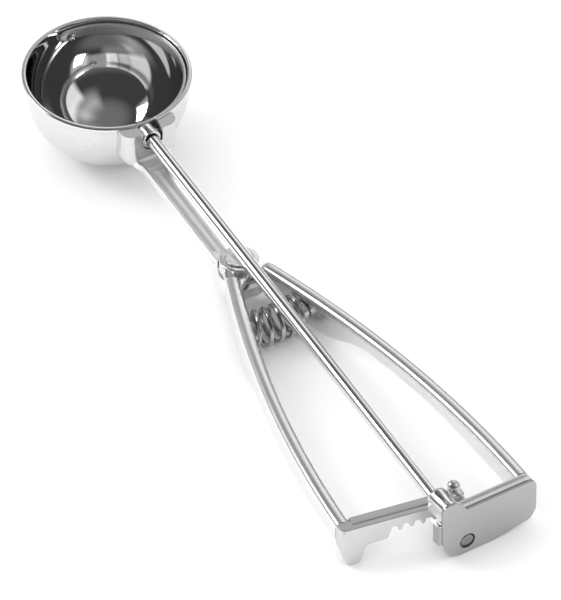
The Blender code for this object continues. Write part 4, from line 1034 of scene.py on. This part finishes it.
def wall(tree, level, height, left, right, low, high, soft, radiance):
    """A bright part of the studio's wall, between two azimuths and two elevations.

    level is the direction's level part at length 1, and height the sine of its elevation.
    """
    towards = tree.nodes.new("ShaderNodeVectorMath")
    towards.operation = "DOT_PRODUCT"
    towards.inputs[1].default_value = light_direction((left + right) / 2, 0)
    tree.links.new(level, towards.inputs[0])
    half = (right - left) / 2
    across, foot, head = (
        soft_step(tree, value, ratio(math.radians(off)), ratio(math.radians(on)))
        for value, ratio, off, on in (
            (towards.outputs["Value"], math.cos, half + soft, half - soft),
            (height, math.sin, low - soft, low + soft),
            (height, math.sin, high + soft, high - soft),
        )
    )
    area = math_node(tree, "MULTIPLY", across, math_node(tree, "MULTIPLY", foot, head))
    return math_node(tree, "MULTIPLY", area, radiance)


def math_node(tree, operation, first, second):
    """The result of a sum or product of sockets or plain numbers."""
    node = tree.nodes.new("ShaderNodeMath")
    node.operation = operation
    for socket, value in zip(node.inputs, (first, second)):
        if isinstance(value, float):
            socket.default_value = value
        else:
            tree.links.new(value, socket)
    return node.outputs["Value"]


def make_world():
    """A white room for the floor, and for reflections a dim studio with soft bright walls."""
    world = bpy.data.worlds.new("studio")
    world.use_nodes = True
    tree = world.node_tree
    direction = tree.nodes.new("ShaderNodeTexCoord").outputs["Generated"]
    upright = tree.nodes.new("ShaderNodeSeparateXYZ")
    tree.links.new(direction, upright.inputs["Vector"])
    low_wall = tree.nodes.new("ShaderNodeMapRange")
    low_wall.interpolation_type = "SMOOTHSTEP"
    low_wall.inputs["From Min"].default_value = HORIZON_FADE[0]
    low_wall.inputs["From Max"].default_value = HORIZON_FADE[1]
    low_wall.inputs["To Min"].default_value = DARK_ROOM
    low_wall.inputs["To Max"].default_value = HORIZON
    tree.links.new(upright.outputs["Z"], low_wall.inputs["Value"])
    overhead = soft_step(tree, upright.outputs["Z"], *CEILING_FADE)
    ceiling = math_node(tree, "MULTIPLY", overhead, CEILING)
    total = math_node(tree, "ADD", low_wall.outputs["Result"], ceiling)
    flat = tree.nodes.new("ShaderNodeVectorMath")
    flat.operation = "MULTIPLY"
    flat.inputs[1].default_value = (1, 1, 0)
    tree.links.new(direction, flat.inputs[0])
    level = tree.nodes.new("ShaderNodeVectorMath")
    level.operation = "NORMALIZE"
    tree.links.new(flat.outputs["Vector"], level.inputs[0])
    for values in WALLS:
        part = wall(tree, level.outputs["Vector"], upright.outputs["Z"], *values)
        total = math_node(tree, "ADD", total, part)
    rays = tree.nodes.new("ShaderNodeLightPath")
    mix = tree.nodes.new("ShaderNodeMix")
    mix.inputs["A"].default_value = AMBIENT
    tree.links.new(rays.outputs["Is Glossy Ray"], mix.inputs["Factor"])
    tree.links.new(total, mix.inputs["B"])
    tree.links.new(mix.outputs["Result"], tree.nodes["Background"].inputs["Color"])
    bpy.context.scene.world = world


def make_camera():
    """The camera, which sees the object as the photograph does."""
    camera = bpy.data.cameras.new("camera")
    camera.sensor_width = SENSOR
    camera.lens = FOCAL_PIXELS * SENSOR / IMAGE_HEIGHT
    camera.clip_start, camera.clip_end = 0.05, 20
    made = bpy.data.objects.new("camera", camera)
    bpy.context.scene.collection.objects.link(made)
    axes = Matrix((CAMERA_RIGHT, CAMERA_UP, -CAMERA_AHEAD)).transposed().to_4x4()
    made.matrix_world = BOWL @ Matrix.Translation(CAMERA_FROM_BOWL) @ axes
    bpy.context.scene.camera = made


make_camera()
make_world()
make_floor()
make_light("window_left", azimuth=-77, elevation=42, distance=1.3, side=0.46, radiance=6)

make_bowl()
make_collar()
make_bush()
make_rod()
make_scraper()
make_front_rivet()
make_shank()
make_moving_arm()
make_rack_bar()
make_fixed_side()
make_cover_plate()
make_guide()
make_stop()
make_pivot()
make_pinion()
make_spring()
dress_plain_nodes()

scene = bpy.context.scene
scene.view_settings.view_transform = "Standard"
scene.view_settings.look = "None"
